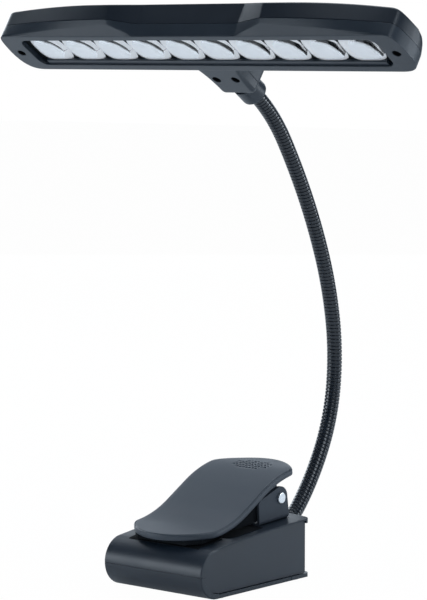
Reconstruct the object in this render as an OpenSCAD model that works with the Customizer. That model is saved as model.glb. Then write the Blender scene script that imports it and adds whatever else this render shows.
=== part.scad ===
/* [Base] */
// Width of the base over its nose and its plates
base_w = 64; // [62:1:72]
// How far the base reaches behind its middle
base_back = 43.5; // [43:0.5:50]
// How far the axis of the rolled nose lies ahead of the middle
nose_y = 31.2; // [31:0.2:36]
// Radius of the rolled nose
nose_r = 12.5; // [12.2:0.1:13.5]
// Radius of the long arc over the top
top_r = 700; // [600:10:1200]
// Slope of the top where it leaves the nose, in degrees
top_angle = 8.2; // [8:0.1:9]
// How much less the top slopes along its side edges, in degrees
crown_angle = 1; // [0.4:0.1:1.2]
// Rounding of the outer side edges
edge_r = 0.8; // [0.4:0.1:0.9]
// Wall of the base's mouldings
base_wall = 2.2; // [1.8:0.1:2.3]
// How far the side panels are set in from the nose's ends
panel_in = 1; // [0.8:0.1:1.4]
// Radius of the side panels' front end
panel_r = 10.6; // [10.4:0.1:10.8]
// How far the top and bottom plates overhang the rear wall
overhang = 4; // [3:0.5:5]
// Radius of the plates' rear corners
corner_r = 4.5; // [3:0.5:6]
// Height of the rubber feet below the bottom plate
foot_h = 0.8; // [0.5:0.1:1.5]
// Radius of a foot
foot_r = 4; // [3:0.5:4.5]

/* [Batteries] */
// Radius of a round cell
cell_r = 7.25; // [7:0.05:7.3]
// Length that the contact spring behind a cell takes up
spring_room = 5.7; // [5:0.1:6.5]
// Where the battery door ends, behind the base's middle
door_seam = 27.1; // [26:0.1:28]

/* [Clip] */
// Width of the sheet bracket over its ears
bracket_w = 48; // [46:1:50]
// Thickness of the bracket's sheet
bracket_t = 1.6; // [1.2:0.1:2]
// Radius of the pivot pin
pin_r = 2; // [1.6:0.1:2.2]
// Pivot's distance behind the base's middle
pin_y = 28; // [27:0.5:29]
// Pivot's height above the bottom plate's underside
pin_z = 41.9; // [41.5:0.1:43]
// Width of the lever
lever_w = 52.8; // [50:0.2:56]
// Thickness of the lever
lever_t = 3.2; // [2.6:0.1:3.4]
// Thickness of the rubber jaw pad
jaw_t = 2.3; // [1.8:0.1:2.4]

/* [Neck] */
// Radius of the flexible neck over its ribs
neck_r = 4; // [3.8:0.1:4.1]
// Radius of the neck's bore
neck_bore_r = 2.2; // [2:0.1:2.4]
// Step from rib to rib
rib_pitch = 1.95; // [1.9:0.05:2.4]
// Depth of the valleys between the ribs
rib_depth = 0.6; // [0.4:0.1:0.8]
// Length of each of the neck's arcs
arc_l = 35.1; // [34:0.1:37]
// How far a joint of the neck bends each way, in degrees
swing_angle = 15; // [8:1:18]

/* [Head] */
// Length of the lamp head
head_l = 257; // [252:1:262]
// Depth of the lamp head's face
head_d = 31.2; // [31:0.2:33]
// Height of the parting seam above the face
seam_h = 7; // [6.8:0.1:7.4]
// Height of the roof above the face
roof_h = 19; // [18.6:0.1:20]
// Where the recessed middle of the front ends
mid_a = 33; // [30:1:36]
// Where the front wings bulge most
peak_a = 50; // [46:1:54]
// Number of lenses in the strip
lens_count = 10; // [8:1:12]
// Radius of the power button
button_r = 4.9; // [4:0.1:5.4]
// Travel of the power button
button_travel = 1.2; // [0.6:0.1:1.2]

/* [Hidden] */
$fn = 48;

// Shared small sizes
over = 1;
fit = 0.1;
gap = 0.3;
slice_t = 0.02;
run_fit = 0.05;

// Base, measured from its middle and from the bottom plate's underside
base_half = base_w / 2;
panel_x = base_half - panel_in;
inner_x = panel_x - base_wall;
wall_back = base_back - overhang;
side_angle = top_angle - crown_angle;
lip_t = 0.8;
panel_y = -nose_y + 1.3 * panel_in;
panel_z = nose_r + panel_in;
nose_steps = 18;
top_steps = 8;
bay_back = 9.6;
rail_h = 3.2;
rail_t = 1.4;
rail_x = inner_x - gap - rail_t;
rail_front = -20;
rail_back = 24;
lip_h = 1.2;
groove_in = 1.1;
foot_side = 7;
foot_x = base_half - foot_side;
front_foot_y = -24;
rear_foot_y = 35.5;
foot_sink = 0.6;

// Battery bay
cell_fit = 0.25;
cell_pitch = 2 * (cell_r + cell_fit);
cell_y = -29;
cell_rise = 0.9;
cell_z = base_wall + cell_r + cell_rise;
button_l = 1;
cell_button_r = 2.75;
plate_t = 0.4;
plate_x = inner_x - gap - plate_t;
cell_l = 2 * plate_x - spring_room;
plate_reach = 4.5;
plate_low = cell_z - plate_reach;
plate_high = cell_z + plate_reach;
spring_wall = 0.6;
spring_big = 3.6;
spring_small = 2.2;
holder_t = 1.2;
holder_rib = 1.6;
holder_ribs = 3;
holder_drop = 3;
holder_low = cell_z - holder_drop;

// Board and screws in the base
board_t = 1.6;
board_z = 8;
board_y = 19.6;
board_side = 2.8;
board_w = 2 * (inner_x - board_side);
board_l = 16;
chip_w = 6;
chip_h = 1.5;
coil_r = 4;
coil_h = 4.5;
post_side = 6;
post_x = board_w / 2 - post_side;
screw_room = 5;
base_screw_x = post_x - screw_room;
post_r = 2.6;
boss_r = 3.2;
screw_r = 1.3;
screw_head_r = 2.6;
screw_head_h = 1.4;
pilot_r = screw_r + fit;
pilot_l = 9;
base_screw_y = 33.2;
board_screw_r = 1;
board_screw_head_r = 1.9;
board_screw_head_h = 1.1;
board_screw_l = 5;

// Gland where the neck leaves the rear wall
neck_z = 15.5;
neck_in = 5;
neck_straight = 2 * neck_r;
neck_hole_r = neck_r + 1.5 * fit;
sleeve_r = 5.6;
sleeve_in = 7;
flange_r = 7.4;
flange_t = 1.4;
nut_r = 7.8;
nut_t = 2.8;

// Bracket and pin, in the bracket's own tilted frame
seat_y = 23.3;
bracket_l = 24;
seat_sink = 0.9;
seat_fit = 0.2;
fold_r = 2.6;
ear_top_r = 5.8;
ear_front_h = 13.4;
ear_angle = 12.6;
ear_lean = 3.6;
pin_head_r = 2.9;
pin_head_t = 1.3;
rivet_r = 1.6;
rivet_head_r = 3;
rivet_head_t = 0.9;
rivet_x = bracket_w / 4;
rivet_forward = 6.5;

// Torsion spring round the pin
wire_r = 0.6;
coil_mean_r = 3.9;
coil_turns = 6;
coil_pitch = 1.75;
spring_rings = 8;
spring_arm = 13.4;
spring_sides = 6;

// Lever profile: length and turn in degrees of each run of its top line
lever_y = -42;
lever_z = 30.5;
lever_angle = 6;
lever_flat = 16.8;
lever_rise = 24.5;
lever_slant = 16;
lever_rest = 31.1;
lever_tip = 8.4;
lever_runs = [[lever_flat, 0], [lever_rise, 24], [lever_slant, 0], [lever_rest, -27], [lever_tip, 4]];
lever_step = 2;
lever_nose_r = 30;
lever_tail_l = 14.7;
lug_r = 5;
lug_t = 3;
lug_gap = 0.4;
lug_x = bracket_w / 2 - bracket_t - lug_gap - lug_t;
lug_fore = 9;
jaw_from = 5;
jaw_to = 21;
jaw_side = 4.4;
jaw_w = lever_w - 2 * jaw_side;
jaw_ridge = 0.5;
jaw_step = 1.4;
pad_side = 9;
pad_w = base_w - 2 * pad_side;
pad_t = 0.7;
pad_sink = 0.5;
pad_front = -35;
pad_back = -17;

// Neck: turn of each arc in degrees, from the base to the head
bend_angles = [48, 15, 21, 16, 11, 7, 6, 22];
neck_arcs = len(bend_angles);
neck_sides = 8;
neck_start = [wall_back - neck_in, neck_z];
neck_total = 2 * neck_straight + neck_arcs * arc_l;
end_fit = 0.08;
cone_angle = swing_angle / 2;
lead_r = 1.8;
lead_step = 7;
lead_tail = 4;

// Head, with b from the front edge to the back and n up from the face
head_half = head_l / 2;
neck_h = 8;
neck_in_collar = 0.8;
face_t = 2.65;
face_b = 0.9;
tip_in = 3.5;
tip_a = head_half - tip_in;
face_tip_b = 0.4;
ridge_h = 1;
ridge_peak = [-3.4, 4.6];
seam_mid_b = -0.4;
seam_peak_b = -4.8;
brow_mid = [-1.1, 18.6];
brow_peak = [-6.6, 14.8];
brow_wing = [-2.4, 17.7];
brow_tip = [0.2, 15.2];
wing_a = mix(peak_a, head_half, 0.484);
roof_drop = 2.4;
end_drop = 2.6;
end_in = 7.5;
end_a = head_half - end_in;
roof_front_b = 6;
roof_mid_b = head_d / 2;
roof_back_b = head_d - roof_front_b;
rear_high = [2.4, 4];
rear_low = [0.6, 9];
foot_edge = 0.6;
front_end = 10.5;
back_end = 13.5;
end_steps = 6;
end_span = 12.6;
end_flat = 0.06;
head_wall = 2.6;
end_wall = 10.9;
cavity_a = head_half - end_wall;
window_rim = 2.6;
window_a = cavity_a - window_rim;
window_front = 4.4;
window_back = 4.6;
window_b = [window_front, head_d - window_back];
window_r = 5;
lens_fit = 0.2;
lens_flange = 1.2;
lens_depth = 2.35;
lens_foot_r = 14.5;
reflector_t = 2.3;
reflector_small_r = 3.2;
reflector_big_r = 8.6;
reflector_rim = 1.1;
rim_h = 7.4;
led_w = 5;
led_h = 1.1;
roof_t = 3.4;
cover_top = roof_h - roof_t;
press_r = 1.6;
press_a = mix(0, window_a, 0.59);
face_screw_in = 6.8;
face_screw_a = head_half - face_screw_in;
face_screw_b = head_d / 2;
face_head_r = 2.25;
face_head_h = 1.7;
face_screw_deep = 2.4;
face_screw_l = 12;

// Neck's bracket behind the head
hold_l = 22.8;
hold_front = head_d + 2 * fit;
hold_back = hold_front + hold_l;
hold_wide = 14.6;
hold_narrow = 11;
hold_corner = 3;
hold_waist = 60;
hold_waist_in = 4;
hold_low = 1.1;
hold_drop = 2;
hold_top = roof_h - hold_drop;
hold_edge = 1.5;
hold_layers = 3;
hold_screw_a = 6.15;
hold_screw_in = 9.6;
hold_screw_b = hold_front + hold_screw_in;
neck_b = hold_back + neck_in_collar;
spigot_r = 5;
spigot_l = 7;
collar_r = 7;
collar_l = 10.3;
collar_mouth = hold_back + collar_l;
collar_edge = 1;
socket_b = hold_back - spigot_l;

// Power switch under the roof
switch_w = 8;
switch_h = 4;
plunger_r = 1.7;
plunger_l = 1.6;
plunger_sink = 0.3;
button_b = head_d / 2;
button_proud = 1.2;
button_top = roof_h + button_proud;
button_flange_r = 6.2;
button_flange_t = 0.8;
button_edge = 0.7;

// Point and heading reached after a run of length l that turns by t degrees
function chord(l, t) = t == 0 ? l : l * sin(t / 2) / (t / 2 * PI / 180);
function after(p, l, t) =
    [p[0] + chord(l, t) * cos(p[2] + t / 2), p[1] + chord(l, t) * sin(p[2] + t / 2), p[2] + t];
function along(p, runs, s, i = 0) =
    i == len(runs) - 1 || s <= runs[i][0] ? after(p, s, runs[i][1] * s / runs[i][0])
    : along(after(p, runs[i][0], runs[i][1]), runs, s - runs[i][0], i + 1);
function total(runs, i = 0) = i == len(runs) ? 0 : runs[i][0] + total(runs, i + 1);
function aside(p, d) = [p[0] + d * sin(p[2]), p[1] - d * cos(p[2])];
function mix(a, b, t) = a + (b - a) * t;

// Outline of the base's side, set in by i, its top leaving the nose at slope s
function top_middle(s) = [(top_r - nose_r) * sin(s) - nose_y, nose_r - (top_r - nose_r) * cos(s)];
function top_height(y, i, s) =
    top_middle(s)[1] + sqrt(pow(top_r - i, 2) - pow(y - top_middle(s)[0], 2));
function nose_point(a, r) = [r * cos(a) - nose_y, nose_r + r * sin(a)];
function base_outline(i, s, front = 1) = concat(
    [for (k = [0:nose_steps]) nose_point(270 - k / nose_steps * (180 - s), nose_r - i)],
    [for (k = [1:top_steps]) let (y = mix(nose_point(90 + s, nose_r - i)[0], base_back, k / top_steps))
        [y, top_height(y, i, s)]],
    [[base_back, i]]);

// The neck's route from inside the base to inside the head's collar
neck_runs = concat([[neck_straight, 0]], [for (b = bend_angles) [arc_l, b]], [[neck_straight, 0]]);
function neck_at(s) = along([neck_start[0], neck_start[1], 0], neck_runs, s);
neck_end = neck_at(neck_total);
function joint_s(k) = neck_straight + k * arc_l;
tilt_angle = 180 - neck_end[2];
head_y = neck_end[0] - neck_b * cos(tilt_angle) - neck_h * sin(tilt_angle);
head_z = neck_end[1] + neck_b * sin(tilt_angle) - neck_h * cos(tilt_angle);

// The lamp's middle lies over the origin
neck_back = max([for (k = [0:neck_arcs * 4]) neck_at(neck_straight + k * arc_l / 4)[0]]) + neck_r;
base_shift = (nose_y + nose_r - neck_back) / 2;

lever_start = [lever_y, lever_z, lever_angle];
lever_l = total(lever_runs);
function lever_at(s) = along(lever_start, lever_runs, s);
lever_back = lever_at(lever_l)[0];
seat_angle = asin((top_middle(top_angle)[0] - seat_y) / top_r);
seat_z = top_height(seat_y, 0, top_angle) - seat_sink;

module on_base() {
    translate([0, base_shift, foot_h]) children();
}

module on_head() {
    on_base() translate([0, head_y, head_z]) rotate([-tilt_angle, 0, 0]) children();
}

module on_seat() {
    translate([0, seat_y, seat_z]) rotate([seat_angle, 0, 0]) children();
}

// Extrudes a side view, drawn with y across and z up, over the width w
module across(w) {
    rotate([90, 0, 90]) linear_extrude(w, center = true) children();
}

module both_sides() {
    children();
    mirror([1, 0, 0]) children();
}

module tube(r_out, r_in, h) {
    difference() {
        cylinder(h = h, r = r_out);
        translate([0, 0, -over]) cylinder(h = h + 2 * over, r = r_in);
    }
}

module screw(r, l, head_r, head_h) {
    cylinder(h = l, r = r);
    translate([0, 0, -head_h]) difference() {
        cylinder(h = head_h, r = head_r);
        translate([0, 0, -head_h / 2]) cylinder(h = head_h, r = head_r / 2, $fn = 6);
    }
}

// One thin slice of the base's outside
module base_slice(x, i, s) {
    translate([x, 0, 0]) across(slice_t) polygon(base_outline(i, s));
}

module base_block() {
    body = base_half - edge_r;
    intersection() {
        hull() for (side = [-1, 1]) {
            for (k = [0:3]) base_slice(side * (body * k / 3), 0, top_angle - crown_angle * pow(k / 3, 2));
            base_slice(side * (base_half - edge_r / 3), edge_r / 4, side_angle);
            base_slice(side * (base_half - slice_t / 2), edge_r, side_angle);
        }
        translate([0, 0, -over]) linear_extrude(3 * nose_r) base_plan();
    }
}

module base_plan() {
    front = nose_y + nose_r + over;
    translate([-base_half, -front]) square([base_w, front + base_back - corner_r]);
    translate([corner_r - base_half, 0]) square([base_w - 2 * corner_r, base_back]);
    for (x = [-1, 1]) translate([x * (base_half - corner_r), base_back - corner_r]) circle(corner_r);
}

// Side panel's outline, grown outwards by g
module panel_side(g) {
    low = base_wall + gap - g;
    intersection() {
        translate([-2 * nose_y, low]) square([2 * nose_y + wall_back, 3 * nose_r]);
        union() {
            translate([panel_y, panel_z]) circle(panel_r + g);
            intersection() {
                polygon(base_outline(lip_t - g, side_angle));
                translate([panel_y, 0]) square([nose_y + base_back, 3 * nose_r]);
            }
        }
    }
}

module bay_side(i) {
    intersection() {
        polygon(base_outline(base_wall + i, side_angle));
        translate([-2 * nose_y, -over]) square([2 * nose_y + wall_back - base_wall, 3 * nose_r]);
    }
}

module door_rails(g) {
    long = rail_back - rail_front + g;
    both_sides() {
        translate([rail_x - g, rail_front, base_wall - over])
            cube([rail_t + 2 * g, long, rail_h + over + g]);
        translate([rail_x, rail_front, base_wall + rail_h - lip_h - g])
            cube([rail_t + gap + groove_in - gap + g, long, lip_h + 2 * g]);
    }
}

module foot_recess(y) {
    both_sides() translate([foot_x, y, -over]) cylinder(h = over + foot_sink, r = foot_r + fit);
}

module base_shell() {
    top = 3 * nose_r;
    color("#262a30") on_base() difference() {
        union() {
            difference() {
                base_block();
                across(base_w + over) difference() {
                    translate([-2 * nose_y, -over]) square([3 * nose_y + base_back, nose_r + over]);
                    panel_side(0);
                }
                across(base_w + over) intersection() {
                    translate([wall_back, 0]) square([base_back, top]);
                    polygon(base_outline(base_wall, side_angle));
                }
                both_sides() translate([panel_x + base_half / 2, 0, 0]) across(base_half) panel_side(0);
                across(2 * inner_x) bay_side(0);
            }
            // Posts, screw bosses and the wall behind the cells hang from the top
            intersection() {
                across(2 * inner_x + base_wall) bay_side(-base_wall / 2);
                union() {
                    both_sides() translate([post_x, board_y, board_z + board_t])
                        cylinder(h = top, r = post_r);
                    both_sides() translate([base_screw_x, base_screw_y, base_wall + gap])
                        cylinder(h = top, r = boss_r);
                    translate([0, bay_back + base_wall / 4, base_wall + rail_h + 4 * gap])
                        across(base_w) square([base_wall / 2, top]);
                }
            }
        }
        translate([0, wall_back - base_wall - over, neck_z]) rotate([-90, 0, 0])
            cylinder(h = base_wall + 2 * over, r = sleeve_r + fit);
        both_sides() translate([base_screw_x, base_screw_y, 0])
            cylinder(h = base_wall + gap + pilot_l, r = pilot_r);
        both_sides() translate([post_x, board_y, 0])
            cylinder(h = board_z + board_t + board_screw_l, r = board_screw_r + fit);
        both_sides() translate([inner_x - over, -2 * nose_y, base_wall + rail_h - lip_h - gap])
            cube([over + groove_in, 2 * nose_y + rail_back + gap, lip_h + 2 * gap]);
        on_seat() translate([-bracket_w / 2 - seat_fit, -bracket_l / 2 - seat_fit, 0])
            cube([bracket_w + 2 * seat_fit, bracket_l + 2 * seat_fit, base_wall]);
        on_seat() both_sides() translate([rivet_x, -rivet_forward, -base_wall])
            cylinder(h = 2 * base_wall, r = rivet_r + fit);
        pad_block(pad_w + 2 * fit, fit, pad_sink);
    }
}

// A strip over the top behind the nose, cut into the surface by sink
module pad_block(w, g, sink) {
    across(w) difference() {
        translate([pad_front - g, nose_r]) square([pad_back - pad_front + 2 * g, 2 * nose_r]);
        polygon(base_outline(sink, top_angle));
    }
}

module rear_plate() {
    color("#22262c") on_base() difference() {
        intersection() {
            base_block();
            across(base_w + over) translate([door_seam + gap / 2, -over])
                square([base_back, base_wall + over]);
        }
        foot_recess(rear_foot_y);
        both_sides() translate([base_screw_x, base_screw_y, -over]) {
            cylinder(h = 2 * over + base_wall, r = pilot_r);
            cylinder(h = over + screw_head_h, r = screw_head_r + fit);
        }
    }
}

module battery_door() {
    color("#22262c") on_base() {
        difference() {
            intersection() {
                base_block();
                across(base_w + over) difference() {
                    translate([-2 * nose_y, -over])
                        square([2 * nose_y + door_seam - gap / 2, nose_r + over - gap / 2]);
                    panel_side(gap);
                }
            }
            foot_recess(front_foot_y);
        }
        both_sides() translate([rail_x, rail_front, base_wall - foot_sink])
            cube([rail_t, rail_back - rail_front, rail_h + foot_sink]);
        both_sides() translate([rail_x, rail_front, base_wall + rail_h - lip_h])
            cube([rail_t + groove_in, rail_back - rail_front, lip_h]);
    }
}

module feet(y) {
    color("#101214") on_base() both_sides() translate([foot_x, y, -foot_h])
        cylinder(h = foot_h + foot_sink, r = foot_r);
}

module front_feet() {
    feet(front_foot_y);
}

module rear_feet() {
    feet(rear_foot_y);
}

module battery_holder() {
    wide = 2 * (plate_x - fit);
    color("#1c1f23") on_base() {
        across(wide) difference() {
            holder_side(fit);
            bay_side(fit + holder_t);
        }
        for (k = [0:holder_ribs - 1]) translate([wide * ((k + 1) / (holder_ribs + 1) - 1 / 2), 0, 0])
            across(holder_rib) difference() {
                holder_side(fit);
                for (c = [0:2]) translate([cell_y + c * cell_pitch, cell_z]) circle(cell_r + cell_fit);
            }
    }
}

module holder_side(i) {
    intersection() {
        bay_side(i);
        panel_side(-i);
        translate([-2 * nose_y, holder_low]) square([2 * nose_y + bay_back - gap, 3 * nose_r]);
    }
}

module on_cell(k) {
    translate([0, cell_y + k * cell_pitch, cell_z]) mirror([k % 2, 0, 0]) rotate([0, 90, 0]) children();
}

module batteries() {
    color("#b9772a") on_base() for (k = [0:2]) on_cell(k) {
        translate([0, 0, plate_x - cell_l]) cylinder(h = cell_l - button_l, r = cell_r);
        translate([0, 0, plate_x - button_l]) cylinder(h = button_l, r = cell_button_r);
    }
}

module contact_plates() {
    deep = 2 * cell_pitch + cell_r;
    color("#b8bcc2") on_base() both_sides() translate([plate_x, cell_y - cell_r / 2, plate_low])
        cube([plate_t, deep, plate_high - plate_low]);
}

module contact_springs() {
    color("#c8ccd2") on_base() for (k = [0:2]) on_cell(k) translate([0, 0, -plate_x]) difference() {
        cylinder(h = 2 * plate_x - cell_l, r1 = spring_big, r2 = spring_small);
        translate([0, 0, -slice_t]) cylinder(h = 2 * plate_x - cell_l + 2 * slice_t,
            r1 = spring_big - spring_wall, r2 = spring_small - spring_wall);
    }
}

module driver_board() {
    color("#2f6b46") on_base() difference() {
        union() {
            translate([-board_w / 2, board_y - board_l / 2, board_z]) cube([board_w, board_l, board_t]);
            translate([-board_w / 4, board_y, board_z]) cylinder(h = board_t + coil_h, r = coil_r);
            translate([0, board_y - chip_w / 2, board_z]) cube([chip_w, chip_w, board_t + chip_h]);
        }
        both_sides() translate([post_x, board_y, board_z - over])
            cylinder(h = board_t + 2 * over, r = board_screw_r + fit);
    }
}

module board_screws() {
    color("#9aa0a6") on_base() both_sides() translate([post_x, board_y, board_z])
        screw(board_screw_r, board_t + board_screw_l - over, board_screw_head_r, board_screw_head_h);
}

module base_screws() {
    color("#9aa0a6") on_base() both_sides() translate([base_screw_x, base_screw_y, screw_head_h])
        screw(screw_r, pilot_l, screw_head_r, screw_head_h);
}

// Threaded sleeve and flange that hold the neck in the rear wall
module neck_gland() {
    color("#1a1c20") on_base() translate([0, wall_back, neck_z]) rotate([-90, 0, 0]) difference() {
        union() {
            translate([0, 0, -sleeve_in]) cylinder(h = sleeve_in + flange_t, r = sleeve_r);
            cylinder(h = flange_t, r1 = flange_r, r2 = flange_r - flange_t / 2);
        }
        translate([0, 0, -sleeve_in - over]) cylinder(h = sleeve_in + flange_t + 2 * over, r = neck_hole_r);
    }
}

module gland_nut() {
    color("#8d9299") on_base() translate([0, wall_back - base_wall - nut_t, neck_z]) rotate([-90, 0, 0])
        difference() {
            cylinder(h = nut_t, r = nut_r, $fn = 6);
            translate([0, 0, -over]) cylinder(h = nut_t + 2 * over, r = sleeve_r + fit);
        }
}

module base_pad() {
    color("#0e0f11") on_base() intersection() {
        pad_block(pad_w, 0, pad_sink);
        across(pad_w) polygon(base_outline(pad_sink - pad_t, top_angle));
    }
}

// Ear outline in the seat's frame, with the pin's place carried into it
pin_away = [pin_y - seat_y, pin_z - seat_z];
pin_seat = [pin_away[0] * cos(seat_angle) + pin_away[1] * sin(seat_angle),
    pin_away[1] * cos(seat_angle) - pin_away[0] * sin(seat_angle)];

module ear_side() {
    front = -bracket_l / 2;
    back = bracket_l / 2;
    translate([front, 0]) square([bracket_l, fold_r]);
    translate(pin_seat) circle(ear_top_r);
    polygon([[front, 0], [back, 0], [back, fold_r],
        [pin_seat[0] + ear_top_r * cos(ear_angle), pin_seat[1] + ear_top_r * sin(ear_angle)],
        [pin_seat[0] - ear_top_r * sin(2 * ear_angle), pin_seat[1] + ear_top_r * cos(2 * ear_angle)],
        [front + ear_lean / 2, ear_front_h], [front, ear_front_h - ear_lean / 2]]);
}

module bracket_section() {
    difference() {
        bracket_round(bracket_w, 0, fold_r);
        bracket_round(bracket_w - 2 * bracket_t, bracket_t, fold_r - bracket_t);
    }
}

module bracket_round(w, low, r) {
    high = 3 * nose_r;
    translate([r - w / 2, low]) square([w - 2 * r, high]);
    translate([-w / 2, low + r]) square([w, high - r]);
    for (x = [-1, 1]) translate([x * (w / 2 - r), low + r]) circle(r);
}

module clip_bracket() {
    color("#33373d") on_base() on_seat() difference() {
        intersection() {
            translate([0, bracket_l / 2, 0]) rotate([90, 0, 0]) linear_extrude(bracket_l) bracket_section();
            across(bracket_w + over) ear_side();
        }
        translate([-bracket_w / 2 - over, pin_seat[0], pin_seat[1]]) rotate([0, 90, 0])
            cylinder(h = bracket_w + 2 * over, r = pin_r + run_fit);
        both_sides() translate([rivet_x, -rivet_forward, -over])
            cylinder(h = bracket_t + 2 * over, r = rivet_r + fit);
    }
}

module bracket_rivets() {
    color("#9aa0a6") on_base() on_seat() both_sides() translate([rivet_x, -rivet_forward, 0]) {
        translate([0, 0, -2 * base_wall / 3]) cylinder(h = bracket_t + 2 * base_wall / 3, r = rivet_r);
        translate([0, 0, bracket_t]) cylinder(h = rivet_head_t, r1 = rivet_head_r, r2 = rivet_head_r / 2);
    }
}

module pivot_pin() {
    color("#e4e7ea") on_base() translate([0, pin_y, pin_z]) rotate([0, 90, 0]) {
        translate([0, 0, -bracket_w / 2]) cylinder(h = bracket_w, r = pin_r);
        translate([0, 0, bracket_w / 2])
            cylinder(h = pin_head_t, r1 = pin_head_r, r2 = pin_head_r - pin_head_t / 2);
        translate([0, 0, -bracket_w / 2 - pin_head_t])
            cylinder(h = pin_head_t, r2 = pin_head_r, r1 = pin_head_r - pin_head_t / 2);
    }
}

// Wire centre line: a straight arm, the turns round the pin and a second arm
coil_w = coil_turns * coil_pitch;
spring_angle = 300;
spring_angle_total = 360 * coil_turns + 30;
spring_steps = spring_rings * coil_turns;
function coil_point(a) =
    [coil_w * ((a - spring_angle) / spring_angle_total - 1 / 2), coil_mean_r * cos(a), coil_mean_r * sin(a)];
function coil_way(a) = [0, -sin(a), cos(a)];
spring_line = concat(
    [for (t = [1, 1 / 2]) coil_point(spring_angle) - t * spring_arm * coil_way(spring_angle)],
    [for (k = [0:spring_steps]) coil_point(spring_angle + spring_angle_total * k / spring_steps)],
    [for (t = [1 / 2, 1]) coil_point(spring_angle + spring_angle_total)
        + t * spring_arm * coil_way(spring_angle + spring_angle_total)]);
function unit(v) = v / norm(v);
function line_way(p, i) = unit(p[min(i + 1, len(p) - 1)] - p[max(i - 1, 0)]);
function ring_3d(p, d, r, sides) =
    let (u = unit(cross(d, [1, 0.01, 0])), v = cross(d, u))
    [for (j = [0:sides - 1]) p + r * (cos(360 * j / sides) * u + sin(360 * j / sides) * v)];
least_gap = min([for (i = [0:len(spring_line) - 1], j = [i + spring_rings - 2:1:len(spring_line) - 1])
    norm(spring_line[i] - spring_line[j])]) - 2 * wire_r;
echo(spring_least_gap = least_gap);

// Triangles between rings of n points each, with both ends closed
function skin(rings, n) = [for (i = [0:rings - 2], j = [0:n - 1], f = [0, 1])
    f == 0 ? [i * n + j, i * n + (j + 1) % n, (i + 1) * n + j]
    : [i * n + (j + 1) % n, (i + 1) * n + (j + 1) % n, (i + 1) * n + j]];
function cap(at, n, flip) = [for (j = [1:n - 2]) flip ? [at, at + j + 1, at + j] : [at, at + j, at + j + 1]];

module torsion_spring() {
    rings = len(spring_line);
    color("#c8ccd2") on_base() translate([0, pin_y, pin_z]) polyhedron(
        [for (i = [0:rings - 1])
            each ring_3d(spring_line[i], line_way(spring_line, i), wire_r, spring_sides)],
        concat(skin(rings, spring_sides), cap(0, spring_sides, true),
            cap((rings - 1) * spring_sides, spring_sides, false)));
}

// Strip between two offsets of the lever's top line, from one length to another
module lever_strip(top, low, from, to) {
    steps = ceil((to - from) / lever_step);
    polygon(concat(
        [for (k = [0:steps]) aside(lever_at(mix(from, to, k / steps)), top)],
        [for (k = [steps:-1:0]) aside(lever_at(mix(from, to, k / steps)), low)]));
}

module lever_plan() {
    half = lever_w / 2;
    intersection() {
        translate([-half, lever_y]) square([lever_w, lever_back - lever_y]);
        union() {
            translate([0, lever_y + lever_nose_r]) circle(lever_nose_r);
            translate([-half, lever_y + lever_nose_r]) square([lever_w, lever_back - lever_y - lever_nose_r]);
        }
        union() {
            translate([-half, lever_y]) square([lever_w, lever_back - lever_tail_l - lever_y]);
            polygon([for (k = [0:16]) let (x = half * (k / 8 - 1))
                [x, lever_back - lever_tail_l * pow(x / half, 2)]]);
        }
    }
}

module lug_side() {
    intersection() {
        union() {
            translate([pin_y, pin_z]) circle(lug_r);
            polygon([[pin_y - lug_r, pin_z], [pin_y + lug_r, pin_z], [pin_y + lug_r, pin_z + 3 * lug_r],
                [pin_y - lug_r - lug_fore, pin_z + 3 * lug_r],
                [pin_y - lug_r - lug_fore, pin_z + lug_r / 2]]);
        }
        lever_strip(lever_t / 2, 5 * lug_r, lever_flat, lever_l - lever_step);
    }
}

module lever() {
    color("#4a5058") on_base() difference() {
        union() {
            intersection() {
                across(lever_w + over) lever_strip(0, lever_t, 0, lever_l);
                linear_extrude(6 * nose_r) lever_plan();
            }
            both_sides() translate([lug_x + lug_t / 2, 0, 0]) across(lug_t) lug_side();
        }
        translate([-bracket_w / 2, pin_y, pin_z]) rotate([0, 90, 0])
            cylinder(h = bracket_w, r = pin_r + run_fit);
    }
}

// Rubber pad under the lever's front, with small ridges across it
module jaw_pad() {
    teeth = floor((jaw_to - jaw_from) / jaw_step);
    color("#0e0f11") on_base() intersection() {
        across(jaw_w) polygon(concat(
            [for (k = [0:teeth]) aside(lever_at(jaw_from + k * jaw_step), lever_t)],
            [for (k = [2 * teeth:-1:0]) aside(lever_at(jaw_from + k * jaw_step / 2),
                lever_t + jaw_t - (k % 2) * jaw_ridge)]));
        translate([0, 0, nose_r]) linear_extrude(3 * nose_r) offset(delta = -edge_r) lever_plan();
    }
}

// One ring of the neck, s along its route, with radius r
function neck_ring(s, r, n) =
    let (p = neck_at(s))
    [for (j = [0:n - 1]) let (a = 360 * (j + 1 / 2) / n)
        [r * cos(a), p[0] - r * sin(a) * sin(p[2]), p[1] + r * sin(a) * cos(p[2])]];
function cone_back(r) = end_fit + r * tan(cone_angle);

// Outer radii alternate between rib and valley, so each rib takes two rings
module neck_tube(from, to, cone_from, cone_to) {
    low_r = neck_r - rib_depth;
    a = from + cone_from * cone_back(low_r);
    b = to - cone_to * cone_back(low_r);
    ribs = round((b - a) / rib_pitch);
    outer = 2 * ribs + 1;
    inner = ceil(ribs / 3) + 1;
    c = from + cone_from * cone_back(neck_bore_r);
    d = to - cone_to * cone_back(neck_bore_r);
    points = [
        for (k = [0:outer - 1])
            each neck_ring(mix(a, b, k / (outer - 1)), k % 2 == 0 ? low_r : neck_r, neck_sides),
        for (k = [inner - 1:-1:0]) each neck_ring(mix(c, d, k / (inner - 1)), neck_bore_r, neck_sides)];
    rings = outer + inner;
    last = (rings - 1) * neck_sides;
    polyhedron(points, concat(skin(rings, neck_sides), [for (j = [0:neck_sides - 1], f = [0, 1])
        f == 0 ? [last + j, last + (j + 1) % neck_sides, j]
        : [last + (j + 1) % neck_sides, (j + 1) % neck_sides, j]]));
}

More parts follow.
